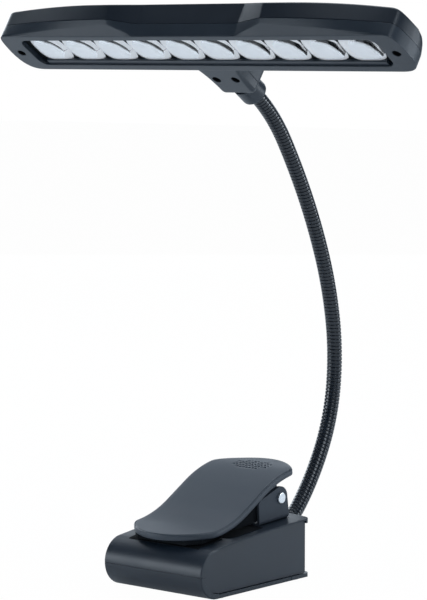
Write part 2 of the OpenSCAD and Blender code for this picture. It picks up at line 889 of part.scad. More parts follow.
module neck_segment(k) {
    first = k == 1;
    last = k == neck_arcs;
    color("#2a2d32") on_base() neck_tube(first ? 0 : joint_s(k - 1), last ? neck_total : joint_s(k),
        first ? 0 : 1, last ? 0 : 1);
}

// Sheathed lead inside one segment of the neck
module lead(k) {
    from = k == 1 ? -lead_tail : joint_s(k - 1) + cone_back(lead_r);
    to = k == neck_arcs ? neck_total + lead_tail : joint_s(k) - cone_back(lead_r);
    rings = ceil((to - from) / lead_step) + 1;
    color("#8f1d1d") on_base() polyhedron(
        [for (i = [0:rings - 1]) each neck_ring(mix(from, to, i / (rings - 1)), lead_r, neck_sides)],
        concat(skin(rings, neck_sides), cap(0, neck_sides, true),
            cap((rings - 1) * neck_sides, neck_sides, false)));
}

module neck_segment_1() {
    neck_segment(1);
}

module neck_segment_2() {
    neck_segment(2);
}

module neck_segment_3() {
    neck_segment(3);
}

module neck_segment_4() {
    neck_segment(4);
}

module neck_segment_5() {
    neck_segment(5);
}

module neck_segment_6() {
    neck_segment(6);
}

module neck_segment_7() {
    neck_segment(7);
}

module neck_segment_8() {
    neck_segment(8);
}

module lead_1() {
    lead(1);
}

module lead_2() {
    lead(2);
}

module lead_3() {
    lead(3);
}

module lead_4() {
    lead(4);
}

module lead_5() {
    lead(5);
}

module lead_6() {
    lead(6);
}

module lead_7() {
    lead(7);
}

module lead_8() {
    lead(8);
}

// Turns a child's Z axis to run backwards along the head, on the neck's line
module on_neck_end(b) {
    translate([0, b, neck_h]) rotate([-90, 0, 0]) children();
}

module neck_collar() {
    long = collar_mouth - hold_back;
    color("#22262c") on_head() on_neck_end(hold_back) difference() {
        union() {
            translate([0, 0, -spigot_l + fit]) cylinder(h = spigot_l + long / 2, r = spigot_r);
            translate([0, 0, fit]) cylinder(h = long - collar_edge - fit, r = collar_r);
            translate([0, 0, long - collar_edge])
                cylinder(h = collar_edge, r1 = collar_r, r2 = collar_r - collar_edge);
        }
        translate([0, 0, neck_b - hold_back - fit]) cylinder(h = long, r = neck_hole_r);
        translate([0, 0, -2 * spigot_l]) cylinder(h = 3 * spigot_l, r = neck_bore_r);
    }
}

// Section of the head at a, as [b, n] points: lower half from the face to the seam
function wing(a) = max(0, min(1, (a - peak_a) / (tip_a - peak_a)));
function middle(a) = max(0, min(1, (peak_a - a) / (peak_a - mid_a)));
function face_edge(a) = mix(face_b, face_tip_b, wing(a));
function ridge(a) = a <= peak_a ? mix(ridge_peak, [face_b, ridge_h], middle(a))
    : mix(ridge_peak, [face_tip_b, ridge_h], wing(a));
function seam_edge(a) = a <= peak_a ? mix(seam_peak_b, seam_mid_b, middle(a))
    : face_tip_b + (seam_peak_b - face_tip_b) * (1 - pow(wing(a), 2));
function brow(a) = a <= peak_a ? mix(brow_peak, brow_mid, middle(a))
    : a <= wing_a ? mix(brow_peak, brow_wing, (a - peak_a) / (wing_a - peak_a))
    : mix(brow_wing, brow_tip, (a - wing_a) / (head_half - wing_a)) - [0, end_fall(a) / 2];
function end_fall(a) = end_drop * pow(max(0, (a - end_a) / (head_half - end_a)), 2);
function roof(a) = roof_h - roof_drop * pow(a / head_half, 4) - end_fall(a);
function lower_section(a) = [[face_edge(a), 0], ridge(a), [seam_edge(a), seam_h - run_fit],
    [head_d - foot_edge / 3, seam_h - run_fit], [head_d, foot_edge], [head_d - foot_edge, 0]];
function upper_section(a) = [[seam_edge(a), seam_h], brow(a), [roof_front_b, roof(a) - foot_edge / 2],
    [roof_mid_b, roof(a)], [roof_back_b, roof(a) - 2 * foot_edge],
    [head_d - rear_high[0], roof(a) - rear_high[1]],
    [head_d - rear_low[0], max(roof(a) - rear_low[1], seam_h + foot_edge)],
    [head_d - foot_edge / 3, seam_h]];

// The rounded ends draw a section's front and back in towards its middle
function end_part(a, l) = max(0, (min(a, head_half - end_flat) - head_half + l) / l);
function kept_front(a) = pow(1 - pow(end_part(a, front_end), 8), 0.76);
function kept_back(a) = pow(1 - pow(end_part(a, back_end), 2.9), 1 / 2.9);
function rounded(section, a) = [for (p = section)
    [mix(head_d / 2, p[0], p[0] < head_d / 2 ? kept_front(a) : kept_back(a)), p[1]]];
head_places = concat([mid_a, peak_a, mix(peak_a, wing_a, 1 / 2), wing_a, mix(wing_a, end_a, 1 / 2)],
    [for (k = [end_steps:-1:0]) head_half - end_span * pow(k / end_steps, 2)]);
head_stations = concat([for (k = [len(head_places) - 1:-1:0]) -head_places[k]], head_places);

// End of the head, spread from the back so that no triangle is drawn along a straight front
function end_cap(at, n, flip) = [for (j = [4:n + 1]) flip ? [at + 3, at + (j + 1) % n, at + j % n]
    : [at + 3, at + j % n, at + (j + 1) % n]];

module head_loft(sections) {
    n = len(sections[0]);
    count = len(sections);
    polyhedron([for (i = [0:count - 1], p = sections[i]) [head_stations[i], p[0], p[1]]],
        concat(skin(count, n), end_cap(0, n, true), end_cap((count - 1) * n, n, false)));
}

module rounded_plate(half_a, b_from, b_to, r, h) {
    linear_extrude(h) {
        translate([-half_a + r, b_from]) square([2 * (half_a - r), b_to - b_from]);
        translate([-half_a, b_from + r]) square([2 * half_a, b_to - b_from - 2 * r]);
        for (x = [-1, 1], y = [b_from + r, b_to - r]) translate([x * (half_a - r), y]) circle(r);
    }
}

module head_housing() {
    color("#3a3f46") on_head() difference() {
        head_loft([for (a = head_stations) rounded(lower_section(abs(a)), abs(a))]);
        translate([0, 0, face_t])
            rounded_plate(cavity_a, head_wall, head_d - head_wall, window_r, seam_h);
        translate([0, 0, -over]) rounded_plate(window_a, window_b[0], window_b[1], window_r, seam_h);
        both_sides() translate([face_screw_a, face_screw_b, -over]) {
            cylinder(h = seam_h + 2 * over, r = pilot_r);
            cylinder(h = over + face_screw_deep, r = face_head_r);
        }
    }
}

module head_cover() {
    color("#24282e") on_head() difference() {
        union() {
            head_loft([for (a = head_stations) rounded(upper_section(abs(a)), abs(a))]);
            translate([0, 0, seam_h]) linear_extrude(hold_top - hold_edge - seam_h) hold_plan(0);
            translate([0, 0, hold_top - hold_edge]) linear_extrude(hold_edge) hold_plan(hold_edge / 2);
        }
        difference() {
            union() {
                translate([0, 0, seam_h - over]) rounded_plate(cavity_a - fit, head_wall, head_d - head_wall,
                    window_r, over + rim_h + board_t + fit - seam_h);
                translate([0, 0, seam_h]) rounded_plate(cavity_a - window_r, head_wall, roof_back_b,
                    window_r, cover_top - seam_h);
            }
            for (side = [-1, 1]) translate([side * press_a, head_d / 2, rim_h + board_t + run_fit])
                cylinder(h = roof_h, r = press_r);
        }
        both_sides() translate([face_screw_a, face_screw_b, seam_h - over])
            cylinder(h = over + pilot_l, r = pilot_r);
        both_sides() translate([hold_screw_a, hold_screw_b, seam_h - over])
            cylinder(h = over + pilot_l - hold_edge, r = pilot_r);
        on_neck_end(socket_b) cylinder(h = 2 * spigot_l, r = spigot_r + fit);
        on_neck_end(head_d - 2 * head_wall) cylinder(h = socket_b, r = neck_bore_r);
        translate([0, button_b, seam_h]) cylinder(h = 2 * roof_h, r = button_r + 2 * fit);
    }
}

// Plan of the neck's bracket, drawn in from its sides by i
module hold_plan(i) {
    wide = hold_wide - i;
    narrow = hold_narrow - i;
    back = hold_back - i;
    difference() {
        union() {
            polygon([[-wide, head_d - head_wall], [wide, head_d - head_wall], [wide, hold_front],
                [narrow, back - hold_corner], [-narrow, back - hold_corner], [-wide, hold_front]]);
            translate([hold_corner - narrow, hold_front])
                square([2 * (narrow - hold_corner), back - hold_front]);
            for (x = [-1, 1])
                translate([x * (narrow - hold_corner), back - hold_corner]) circle(hold_corner);
        }
        for (x = [-1, 1]) translate([x * (hold_waist + narrow), hold_back - hold_waist_in])
            circle(hold_waist);
    }
}

// How far a layer of the rounded lower edge lies in from the side
function layer_in(k) = hold_edge * (1 - sqrt(1 - pow(1 - (k + 1 / 2) / hold_layers, 2)));

module head_bracket_cover() {
    color("#3a3f46") on_head() difference() {
        difference() {
            union() {
                translate([0, 0, hold_low + hold_edge])
                    linear_extrude(seam_h - run_fit - hold_low - hold_edge) hold_plan(0);
                for (k = [0:hold_layers - 1])
                    translate([0, 0, hold_low + hold_edge * k / hold_layers])
                        linear_extrude(hold_edge / hold_layers + slice_t) hold_plan(layer_in(k));
            }
            translate([-hold_wide - over, 0, -over])
                cube([2 * (hold_wide + over), hold_front, seam_h + 2 * over]);
        }
        both_sides() translate([hold_screw_a, hold_screw_b, -over]) {
            cylinder(h = seam_h + 2 * over, r = pilot_r);
            cylinder(h = over + hold_low + face_screw_deep, r = face_head_r + fit);
        }
        on_neck_end(socket_b) cylinder(h = 2 * spigot_l, r = spigot_r + fit);
        on_neck_end(head_d - 2 * head_wall) cylinder(h = socket_b, r = neck_bore_r);
    }
}

module bracket_screws() {
    color("#9aa0a6") on_head() both_sides()
        translate([hold_screw_a, hold_screw_b, hold_low + face_screw_deep])
            screw(screw_r, face_screw_l - hold_low - face_screw_deep, face_head_r - fit, face_head_h);
}

module head_screws() {
    color("#9aa0a6") on_head() both_sides() translate([face_screw_a, face_screw_b, face_screw_deep])
        screw(screw_r, face_screw_l - face_screw_deep / 2, face_head_r - fit, face_head_h);
}

// Lenses share the window's length, their domes bulging towards the face
lens_pitch = 2 * (window_a - over) / lens_count;
lens_r = (pow(lens_foot_r, 2) + pow(lens_depth, 2)) / (2 * lens_depth);
function lens_place(k) = (k - (lens_count - 1) / 2) * lens_pitch;

module lens_strip() {
    mid_b = (window_b[0] + window_b[1]) / 2;
    color("#eef2f6") on_head() {
        translate([0, 0, face_t]) rounded_plate(cavity_a - lens_fit, head_wall + lens_fit,
            head_d - head_wall - lens_fit, window_r, lens_flange);
        intersection() {
            rounded_plate(window_a - lens_fit, window_b[0] + lens_fit, window_b[1] - lens_fit,
                window_r, face_t + lens_flange / 2);
            union() for (k = [0:lens_count - 1])
                translate([lens_place(k), mid_b, face_t - lens_depth + lens_r]) sphere(lens_r, $fn = 96);
        }
    }
}

module reflector() {
    low = face_t + lens_flange;
    inner = cavity_a - lens_fit;
    color("#f4f4f2") on_head() difference() {
        translate([0, 0, low]) rounded_plate(inner, head_wall + lens_fit, head_d - head_wall - lens_fit,
            window_r, rim_h - low);
        translate([0, 0, low + reflector_t]) rounded_plate(inner - reflector_rim,
            head_wall + lens_fit + reflector_rim, head_d - head_wall - lens_fit - reflector_rim,
            window_r, rim_h);
        for (k = [0:lens_count - 1]) translate([lens_place(k), head_d / 2, low])
            translate([0, 0, -slice_t])
                cylinder(h = reflector_t + 2 * slice_t, r1 = reflector_big_r, r2 = reflector_small_r);
    }
}

module led_board() {
    edge = lens_fit + reflector_rim / 2;
    color("#e8ebe6") on_head() translate([0, 0, rim_h])
        rounded_plate(cavity_a - lens_fit - reflector_rim, head_wall + edge, head_d - head_wall - edge,
            window_r / 2, board_t);
}

module leds() {
    color("#f6e7a0") on_head() for (k = [0:lens_count - 1])
        translate([lens_place(k) - led_w / 2, head_d / 2 - led_w / 2, rim_h - led_h])
            cube([led_w, led_w, led_h]);
}

module switch_body() {
    low = rim_h + board_t;
    color("#1a1c20") on_head() difference() {
        translate([-switch_w / 2, button_b - switch_w / 2, low]) cube([switch_w, switch_w, switch_h]);
        translate([0, button_b, low + switch_h - plunger_sink - button_travel - gap])
            cylinder(h = switch_h, r = plunger_r + 2 * fit);
    }
}

plunger_h = rim_h + board_t + switch_h - plunger_sink;

module switch_plunger() {
    color("#d8dade") on_head() translate([0, button_b, plunger_h]) cylinder(h = plunger_l, r = plunger_r);
}

module switch_button() {
    low = plunger_h + plunger_l;
    color("#2f343a") on_head() translate([0, button_b, 0]) {
        translate([0, 0, low]) cylinder(h = button_top - button_edge - low, r = button_r);
        translate([0, 0, button_top - button_edge])
            cylinder(h = button_edge, r1 = button_r, r2 = button_r - button_edge);
        translate([0, 0, low]) cylinder(h = button_flange_t, r = button_flange_r);
    }
}

base_shell();
rear_plate();
battery_door();
front_feet();
rear_feet();
battery_holder();
batteries();
contact_plates();
contact_springs();
driver_board();
board_screws();
base_screws();
neck_gland();
gland_nut();
base_pad();
clip_bracket();
bracket_rivets();
pivot_pin();
torsion_spring();
lever();
jaw_pad();
neck_segment_1();
neck_segment_2();
neck_segment_3();
neck_segment_4();
neck_segment_5();
neck_segment_6();
neck_segment_7();
neck_segment_8();
lead_1();
lead_2();
lead_3();
lead_4();
lead_5();
lead_6();
lead_7();
lead_8();
neck_collar();
head_housing();
head_cover();
head_bracket_cover();
bracket_screws();
head_screws();
lens_strip();
reflector();
led_board();
leds();
switch_body();
switch_plunger();
switch_button();
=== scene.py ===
from math import ceil, copysign, cos, pi, radians, sin, sqrt
import bpy
import bmesh
from mathutils import Matrix, Vector
from mathutils.bvhtree import BVHTree
from mathutils.geometry import delaunay_2d_cdt

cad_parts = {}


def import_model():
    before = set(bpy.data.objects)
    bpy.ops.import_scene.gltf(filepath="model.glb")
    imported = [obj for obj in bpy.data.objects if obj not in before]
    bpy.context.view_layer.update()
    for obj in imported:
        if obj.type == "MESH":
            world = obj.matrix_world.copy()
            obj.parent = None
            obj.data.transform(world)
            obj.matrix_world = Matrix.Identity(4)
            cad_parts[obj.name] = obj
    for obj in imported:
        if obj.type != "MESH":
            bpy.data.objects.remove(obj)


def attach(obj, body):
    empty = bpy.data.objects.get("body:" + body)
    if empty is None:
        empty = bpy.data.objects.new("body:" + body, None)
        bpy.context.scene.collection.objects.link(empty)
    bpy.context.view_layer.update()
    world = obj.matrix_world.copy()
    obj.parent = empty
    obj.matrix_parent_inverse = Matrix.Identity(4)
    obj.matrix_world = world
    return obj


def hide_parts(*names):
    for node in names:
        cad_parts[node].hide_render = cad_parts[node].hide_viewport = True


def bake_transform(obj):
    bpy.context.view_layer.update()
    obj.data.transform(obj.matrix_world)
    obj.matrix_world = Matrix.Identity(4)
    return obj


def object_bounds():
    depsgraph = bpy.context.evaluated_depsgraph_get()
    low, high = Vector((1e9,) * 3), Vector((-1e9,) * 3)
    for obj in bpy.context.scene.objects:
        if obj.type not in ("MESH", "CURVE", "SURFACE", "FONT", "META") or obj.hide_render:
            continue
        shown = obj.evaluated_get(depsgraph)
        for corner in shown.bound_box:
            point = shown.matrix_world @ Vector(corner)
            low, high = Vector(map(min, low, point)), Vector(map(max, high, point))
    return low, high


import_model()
cad_low, cad_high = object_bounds()

# A music stand light: a base with a clip, a ribbed flexible neck and a long head with ten lenses.
# In the base's own frame, x goes to the right, y back and z up. In the head's, a goes to the
# right, b back along the face and n up through the head.

# Sizes
MM = 0.001
BASE_SHIFT = -32.1426  # from the frame's origin to the base's middle, in y
FOOT_H = 0.8  # thickness of the rubber feet under the base
HEAD_Y, HEAD_Z = -21.1998 + BASE_SHIFT, 275.666 + FOOT_H
TILT = 34.0  # the face looks down and forward by this much

NECK_START = (34.5, 15.5)  # y and z where the neck's line leaves the rear wall
STRAIGHT = 8.0  # straight run at each end of the neck
ARC = 35.1  # length of each of the neck's arcs
BENDS = [48, 15, 21, 16, 11, 7, 6, 22]  # how far each arc turns
NECK_RUNS = [(STRAIGHT, 0)] + [(ARC, b) for b in BENDS] + [(STRAIGHT, 0)]
NECK_LONG = 2 * STRAIGHT + ARC * len(BENDS)
NECK_R = 4.0  # radius over the ribs
PITCH = 1.95  # from rib to rib
VALLEY, VALLEY_POWER = 0.6, 1.4  # depth and form of the groove between two ribs
CREST_FALL = 0.03  # fall of a rib's crest towards its edges
CREST_SHARE, GROOVE_SHARE = 0.78, 0.22  # shares of a pitch
RIB_STEPS = [0.0, 0.03, 0.06, 0.085, 0.11, 0.16, 0.3, 0.5, 0.7, 0.84, 0.89, 0.915, 0.94, 0.97]
NECK_SIDES = 32
NECK_LOW_END, NECK_TOP_END = 2.0, 3.0  # how far the skin runs into the gland and the collar
BOX_GAP = 1e-5  # metres that the skin stays inside the CAD box

PIN_Y, PIN_Z = 28.0, 41.9  # the lever's hinge pin
LEVER_START = (-42.0, 30.5, 6.0)  # y, z and heading of the lever's front end
LEVER_RUNS = [(16.8, 0), (24.5, 24), (16, 0), (31.1, -27), (8.4, 4)]
LEVER_LONG = sum(r[0] for r in LEVER_RUNS)
LEVER_HALF = 26.4  # half width
LEVER_T = 3.2  # thickness
LEVER_NOSE_Y, LEVER_NOSE_R = -12.0, 30.0  # the front's outline is an arc
LEVER_END, LEVER_TAIL, LEVER_POWER = 49.6058, 14.7, 2.08  # and the rear's a superellipse
LEVER_MIN = 0.35  # half width at which the outline ends
# Its rounded rims, from the flat face outwards: how far in from the outline, and how deep
LEVER_TOP_RIM = [(1.3, 0.0), (1.05, 0.03), (0.92, 0.14), (0.86, 0.6), (0.48, 0.6), (0.44, 0.2),
                 (0.3, 0.22), (0.1, 0.42), (0.0, 0.75)]
LEVER_LOW_RIM = [(0.0, LEVER_T - 0.7), (0.12, LEVER_T - 0.36), (0.34, LEVER_T - 0.13),
                 (0.7, LEVER_T)]
RIM_STEP, RIM_ROUNDS = 0.9, 6  # spacing of the outline's points, smoothing rounds
NET, NET_LEAST = 1.5, 3  # spacing of the points inside it, and half width where they end
NET_SIDE, NET_FRONT, NET_REAR = 2.8, 3.6, 3.2  # how far they stay from the sides and the ends
NET_RIM, NET_DENT = 0.9, 0.28  # and from the rim's and the dents' points
DENTS_AT = 81.8  # the grip field's middle along the lever
DENT_R, DENT_DEEP = 0.84, 2.0
DENT_ROWS, DENT_COLS = 5, 11
DENT_ROW, DENT_COL, DENT_ASIDE = 2.5, 2.05, 0.2  # pitches, and how far the field is off the middle
DENT_FIELD = (5.9, 2.65)  # the field's oval, in columns and rows
# A dent's rings: share of its radius, share of its depth, points
DENT_RINGS = ((1.0, 0.0, 10), (0.93, 0.45, 10), (0.8, 0.92, 10), (0.4, 1.0, 6))

LUG_X = (19.0, 22.0)  # inner and outer face of a lug
LUG_R, LUG_BORE, LUG_FRONT = 5.0, 2.06, 9.0
LUG_TOP = (46.0, 24.6, 12, 1.6)  # along the lever: start, length, steps and depth under its top
LUG_TURN, LUG_SIDES = 9, 20

SPRING_R, SPRING_ARM, SPRING_WIDE, WIRE_R = 3.9, 13.4, 10.5, 0.6
SPRING_FIRST, SPRING_TURN = 300.0, 2190.0  # where the coil starts and how far it turns
SPRING_STEPS, ARM_STEPS, WIRE_SIDES = 168, 10, 12
WIRE_CUT = 0.22  # rounding of the wire's ends


# Lines and frames
def run_on(p, l, t):
    """From the place and heading p on along an arc of length l that turns by t."""
    half, h = radians(t / 2), radians(p[2] + t / 2)
    chord = l * sin(half) / half if half else l
    return (p[0] + chord * cos(h), p[1] + chord * sin(h), p[2] + t)


def along(p, runs, s):
    """Place and heading at the distance s along runs of arcs that start at p."""
    for i, (l, t) in enumerate(runs):
        if s <= l or i == len(runs) - 1:
            return run_on(p, s, t * s / l)
        p, s = run_on(p, l, t), s - l


def neck_at(s):
    return along((NECK_START[0], NECK_START[1], 0.0), NECK_RUNS, s)


def lever_at(s):
    return along(LEVER_START, LEVER_RUNS, s)


def base_pt(x, y, z):
    return Vector((x, y + BASE_SHIFT, z + FOOT_H)) * MM


def head_pt(a, b, n):
    c, s = cos(radians(TILT)), sin(radians(TILT))
    return Vector((a, HEAD_Y + b * c + n * s, HEAD_Z - b * s + n * c)) * MM


def under_lever(s, d):
    """The point (y, z) at s along the lever and d under its top."""
    y, z, h = lever_at(s)
    h = radians(h)
    return y + d * sin(h), z - d * cos(h)


def lever_pt(s, x, d):
    return base_pt(x, *under_lever(s, d))


# Materials
def new_material(name):
    m = bpy.data.materials.new(name)
    m.use_nodes = True
    return m, m.node_tree, next(n for n in m.node_tree.nodes if n.type == "BSDF_PRINCIPLED")


def fit(t, n, **sockets):
    """Give the node's named inputs a number, a colour or another node's output."""
    for k, v in sockets.items():
        give(t, n.inputs[k.replace("_", " ")], v)
    return n


def node(t, kind, **sockets):
    return fit(t, t.nodes.new(kind), **sockets)


def give(t, socket, value):
    if isinstance(value, bpy.types.NodeSocket):
        t.links.new(value, socket)
    else:
        socket.default_value = value


def maths(t, operation, *values):
    n = t.nodes.new("ShaderNodeMath")
    n.operation = operation
    for socket, v in zip(n.inputs, values):
        give(t, socket, v)
    return n.outputs[0]


def ramp(t, source, stops):
    r = t.nodes.new("ShaderNodeValToRGB")
    while len(r.color_ramp.elements) < len(stops):
        r.color_ramp.elements.new(0.5)
    for e, (p, c) in zip(r.color_ramp.elements, stops):
        e.position = p
        e.color = (*c, 1) if hasattr(c, "__len__") else (c, c, c, 1)
    t.links.new(source, r.inputs["Fac"])
    return r.outputs["Color"]


def surface_at(t):
    return t.nodes.new("ShaderNodeTexCoord").outputs["Object"]


def bump(t, b, height, strength, depth):
    """Relief of the given depth on the shader b."""
    n = node(t, "ShaderNodeBump", Strength=strength, Distance=depth * MM, Height=height)
    t.links.new(n.outputs["Normal"], b.inputs["Normal"])


def plastic(name, dark, light, rough, grain=0.35, depth=0.03, specular=0.5, **more):
    """Moulded satin plastic: a fine spark-eroded grain, slow changes of tone and of gloss."""
    m, t, b = new_material(name)
    at = surface_at(t)
    cloud = node(t, "ShaderNodeTexNoise", Vector=at, Scale=55.0, Detail=4.0, Roughness=0.6)
    fine = node(t, "ShaderNodeTexNoise", Vector=at, Scale=1000.0 / grain, Detail=3.0,
                Roughness=0.55)
    speck = node(t, "ShaderNodeTexVoronoi", Vector=at, Scale=1000.0 / (grain * 1.6))
    slow = maths(t, "MULTIPLY", cloud.outputs["Fac"], 0.55)
    tone = maths(t, "MULTIPLY_ADD", fine.outputs["Fac"], 0.45, slow)
    height = maths(t, "MULTIPLY_ADD", speck.outputs["Distance"], 0.6, fine.outputs["Fac"])
    bump(t, b, height, 0.35, depth)
    fit(t, b, Base_Color=ramp(t, tone, [(0.3, dark), (0.7, light)]), Specular_IOR_Level=specular,
        Roughness=ramp(t, tone, [(0.3, rough[0]), (0.7, rough[1])]), **more)
    return m


def metal(name, colour, rough=(0.2, 0.34)):
    """Bright metal with fine changes of tone and gloss, as drawing and plating leave them."""
    m, t, b = new_material(name)
    place = node(t, "ShaderNodeMapping", Vector=surface_at(t), Scale=(400.0, 400.0, 400.0))
    n = node(t, "ShaderNodeTexNoise", Vector=place.outputs["Vector"], Scale=4.0, Detail=5.0,
             Roughness=0.65)
    fac = n.outputs["Fac"]
    dim = tuple(c * 0.82 for c in colour)
    bump(t, b, fac, 0.3, 0.01)
    fit(t, b, Base_Color=ramp(t, fac, [(0.3, dim), (0.65, colour)]), Metallic=1.0,
        Roughness=ramp(t, fac, [(0.3, rough[1]), (0.7, rough[0])]))
    return m


def phosphor():
    """The yellow cap of an LED, with its fine grains and a faint glow."""
    m, t, b = new_material("led_phosphor")
    n = node(t, "ShaderNodeTexVoronoi", Vector=surface_at(t), Scale=3500.0)
    yellow = ramp(t, n.outputs["Distance"], [(0.1, (0.93, 0.86, 0.52)), (0.7, (0.96, 0.90, 0.66))])
    fit(t, b, Base_Color=yellow, Roughness=0.45, Emission_Color=(0.97, 0.98, 1.0, 1),
        Emission_Strength=0.5)
    return m


def clear_lens():
    m, t, b = new_material("lens_clear")
    n = node(t, "ShaderNodeTexNoise", Vector=surface_at(t), Scale=900.0, Detail=2.0)
    fit(t, b, Base_Color=(0.97, 0.985, 1.0, 1), Transmission_Weight=1.0, IOR=1.49,
        Roughness=ramp(t, n.outputs["Fac"], [(0.3, 0.03), (0.7, 0.07)]))
    return m


shell_black = plastic("shell_black", (0.007, 0.013, 0.022), (0.011, 0.019, 0.031), (0.36, 0.46))
head_black = plastic("head_black", (0.013, 0.021, 0.032), (0.019, 0.029, 0.042), (0.36, 0.46))
# A darker copy of head_black for the head's upper half: painted shade on the upper walls, which
# get less light.
head_black_painted_shade = plastic("head_black_painted_shade", (0.006, 0.011, 0.019), (0.010, 0.017, 0.027), (0.34, 0.42))
# The lever's own black plastic, with its tone raised above the other blacks as painted light on
# the lever.
lever_black = plastic("lever_black", (0.024, 0.034, 0.048), (0.031, 0.042, 0.058), (0.42, 0.52))
inner_black = plastic("inner_black", (0.010, 0.012, 0.016), (0.014, 0.017, 0.022), (0.5, 0.62))
bracket_paint = plastic("bracket_paint", (0.034, 0.043, 0.056), (0.043, 0.053, 0.068), (0.5, 0.6),
                        grain=0.25, depth=0.02, specular=0.25)
rubber = plastic("rubber", (0.004, 0.005, 0.007), (0.007, 0.009, 0.011), (0.8, 0.9), specular=0.1)
neck_metal = plastic("neck_metal", (0.002, 0.006, 0.012), (0.004, 0.009, 0.017), (0.24, 0.32),
                     grain=0.3, depth=0.002, specular=0.6)
lead_sheath = plastic("lead_sheath", (0.02, 0.02, 0.02), (0.03, 0.03, 0.03), (0.5, 0.6))
bright_steel = metal("bright_steel", (0.80, 0.82, 0.84))
spring_steel = metal("spring_steel", (0.55, 0.56, 0.58), (0.25, 0.4))
screw_steel = plastic("screw_steel", (0.004, 0.004, 0.005), (0.008, 0.008, 0.009), (0.35, 0.45),
                      grain=0.2, depth=0.01)
contact_nickel = metal("contact_nickel", (0.66, 0.65, 0.62), (0.25, 0.4))
board_green = plastic("board_green", (0.02, 0.11, 0.045), (0.03, 0.15, 0.06), (0.3, 0.4))
board_white = plastic("board_white", (0.80, 0.80, 0.79), (0.86, 0.86, 0.85), (0.4, 0.5))
# The reflector is white and also glows faintly. The glow is painted light that brightens the
# lenses, though the reflector is no lamp.
reflector_white = plastic("reflector_white", (0.84, 0.85, 0.86), (0.90, 0.90, 0.91), (0.3, 0.4),
                          Emission_Color=(0.92, 0.95, 1.0, 1), Emission_Strength=0.2)
cell_wrap = plastic("cell_wrap", (0.45, 0.16, 0.03), (0.52, 0.20, 0.04), (0.3, 0.4))
led_phosphor = phosphor()
lens_clear = clear_lens()

SEGMENTS = range(1, len(BENDS) + 1)
FINISHES = [
    (shell_black, "base_shell rear_plate battery_door"),
    (head_black, "neck_collar head_housing head_cover head_bracket_cover"),
    (inner_black, "battery_holder neck_gland gland_nut switch_body switch_plunger"),
    (rubber, "front_feet rear_feet base_pad jaw_pad switch_button"),
    (screw_steel, "board_screws base_screws bracket_rivets bracket_screws head_screws"),
    (contact_nickel, "contact_plates contact_springs"),
    (lever_black, "lever"), (bracket_paint, "clip_bracket"), (bright_steel, "pivot_pin"),
    (spring_steel, "torsion_spring"), (cell_wrap, "batteries"), (board_green, "driver_board"),
    (lens_clear, "lens_strip"), (reflector_white, "reflector"), (board_white, "led_board"),
    (led_phosphor, "leds"), (neck_metal, " ".join("neck_segment_%d" % k for k in SEGMENTS)),
    (lead_sheath, " ".join("lead_%d" % k for k in SEGMENTS)),
]
for material, names in FINISHES:
    for name in names.split():
        o = bpy.data.objects[name]
        for s in o.material_slots:
            s.material = material
        if not o.material_slots:
            o.data.materials.append(material)


# Mesh helpers
MERGE = 1e-6  # metres between points that are one
NEAR = 1e-6  # the same inside a flat outline, in millimetres
SOLID_MERGE = 2e-6  # metres, the same in a CAD solid
FLAT, BEND = 1.0, 28  # turns up to which faces are joined, and from which an edge is rounded
EDGE, THIN_EDGE = 0.25, 0.2  # widths of the rounding


def put_in(name, data):
    o = bpy.data.objects.new(name, data)
    bpy.context.scene.collection.objects.link(o)
    return o


def bake(o, name):
    """Turn the object's modifiers into its mesh."""
    graph = bpy.context.evaluated_depsgraph_get()
    done = bpy.data.meshes.new_from_object(o.evaluated_get(graph))
    o.modifiers.clear()
    o.data = done
    done.name = name


def weigh_normals(o):
    o.modifiers.new("normals", "WEIGHTED_NORMAL").keep_sharp = True


def new_piece(name, points, faces, material, body=None, nodes=(), angle=None, mend=True,
              weighted=False):
    """A smooth piece that keeps edges over the given angle sharp.

    mend joins its doubled points and turns its faces outwards.
    """
    me = bpy.data.meshes.new(name)
    me.from_pydata([tuple(p) for p in points], [], faces)
    bm = bmesh.new()
    bm.from_mesh(me)
    if mend:
        bmesh.ops.remove_doubles(bm, verts=bm.verts, dist=MERGE)
        bmesh.ops.recalc_face_normals(bm, faces=bm.faces)
    for f in bm.faces:
        f.smooth = True
    if angle is not None:
        for e in bm.edges:
            if len(e.link_faces) == 2 and e.calc_face_angle(0) > radians(angle):
                e.smooth = False
    bm.to_mesh(me)
    bm.free()
    o = put_in(name, me)
    me.materials.append(material)
    if weighted:
        weigh_normals(o)
        bake(o, name)
    if body:
        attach(o, body)
    for n in nodes:
        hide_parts(n)
    return o


def soften(source, name, width, body, material, floor=False):
    """A copy of a CAD solid with every sharp edge rounded off, as a moulding has them."""
    me = bpy.data.objects[source].data.copy()
    me.name = name
    bm = bmesh.new()
    bm.from_mesh(me)
    bmesh.ops.remove_doubles(bm, verts=bm.verts, dist=SOLID_MERGE)
    # A floor with holes in it stays in triangles, because one face can't hold it
    joined = [e for e in bm.edges if not (floor and all(f.normal.z > 0.99 for f in e.link_faces))]
    bmesh.ops.dissolve_limit(bm, angle_limit=radians(FLAT), verts=bm.verts, edges=joined,
                             delimit={"MATERIAL"})
    for f in bm.faces:
        f.smooth = True
    bm.to_mesh(me)
    bm.free()
    o = put_in(name, me)
    b = o.modifiers.new("edge", "BEVEL")
    b.width = width * MM
    b.segments = 3
    b.limit_method = "ANGLE"
    b.angle_limit = radians(BEND)
    b.use_clamp_overlap = True
    b.harden_normals = True
    b.miter_outer = "MITER_ARC"
    weigh_normals(o)
    bake(o, name)
    o.data.materials.clear()
    o.data.materials.append(material)
    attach(o, body)
    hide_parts(source)


def inside(p, loop):
    hit = False
    for (x0, y0), (x1, y1) in zip(loop, loop[1:] + loop[:1]):
        if (y0 > p[1]) != (y1 > p[1]) and p[0] < x0 + (p[1] - y0) / (y1 - y0) * (x1 - x0):
            hit = not hit
    return hit


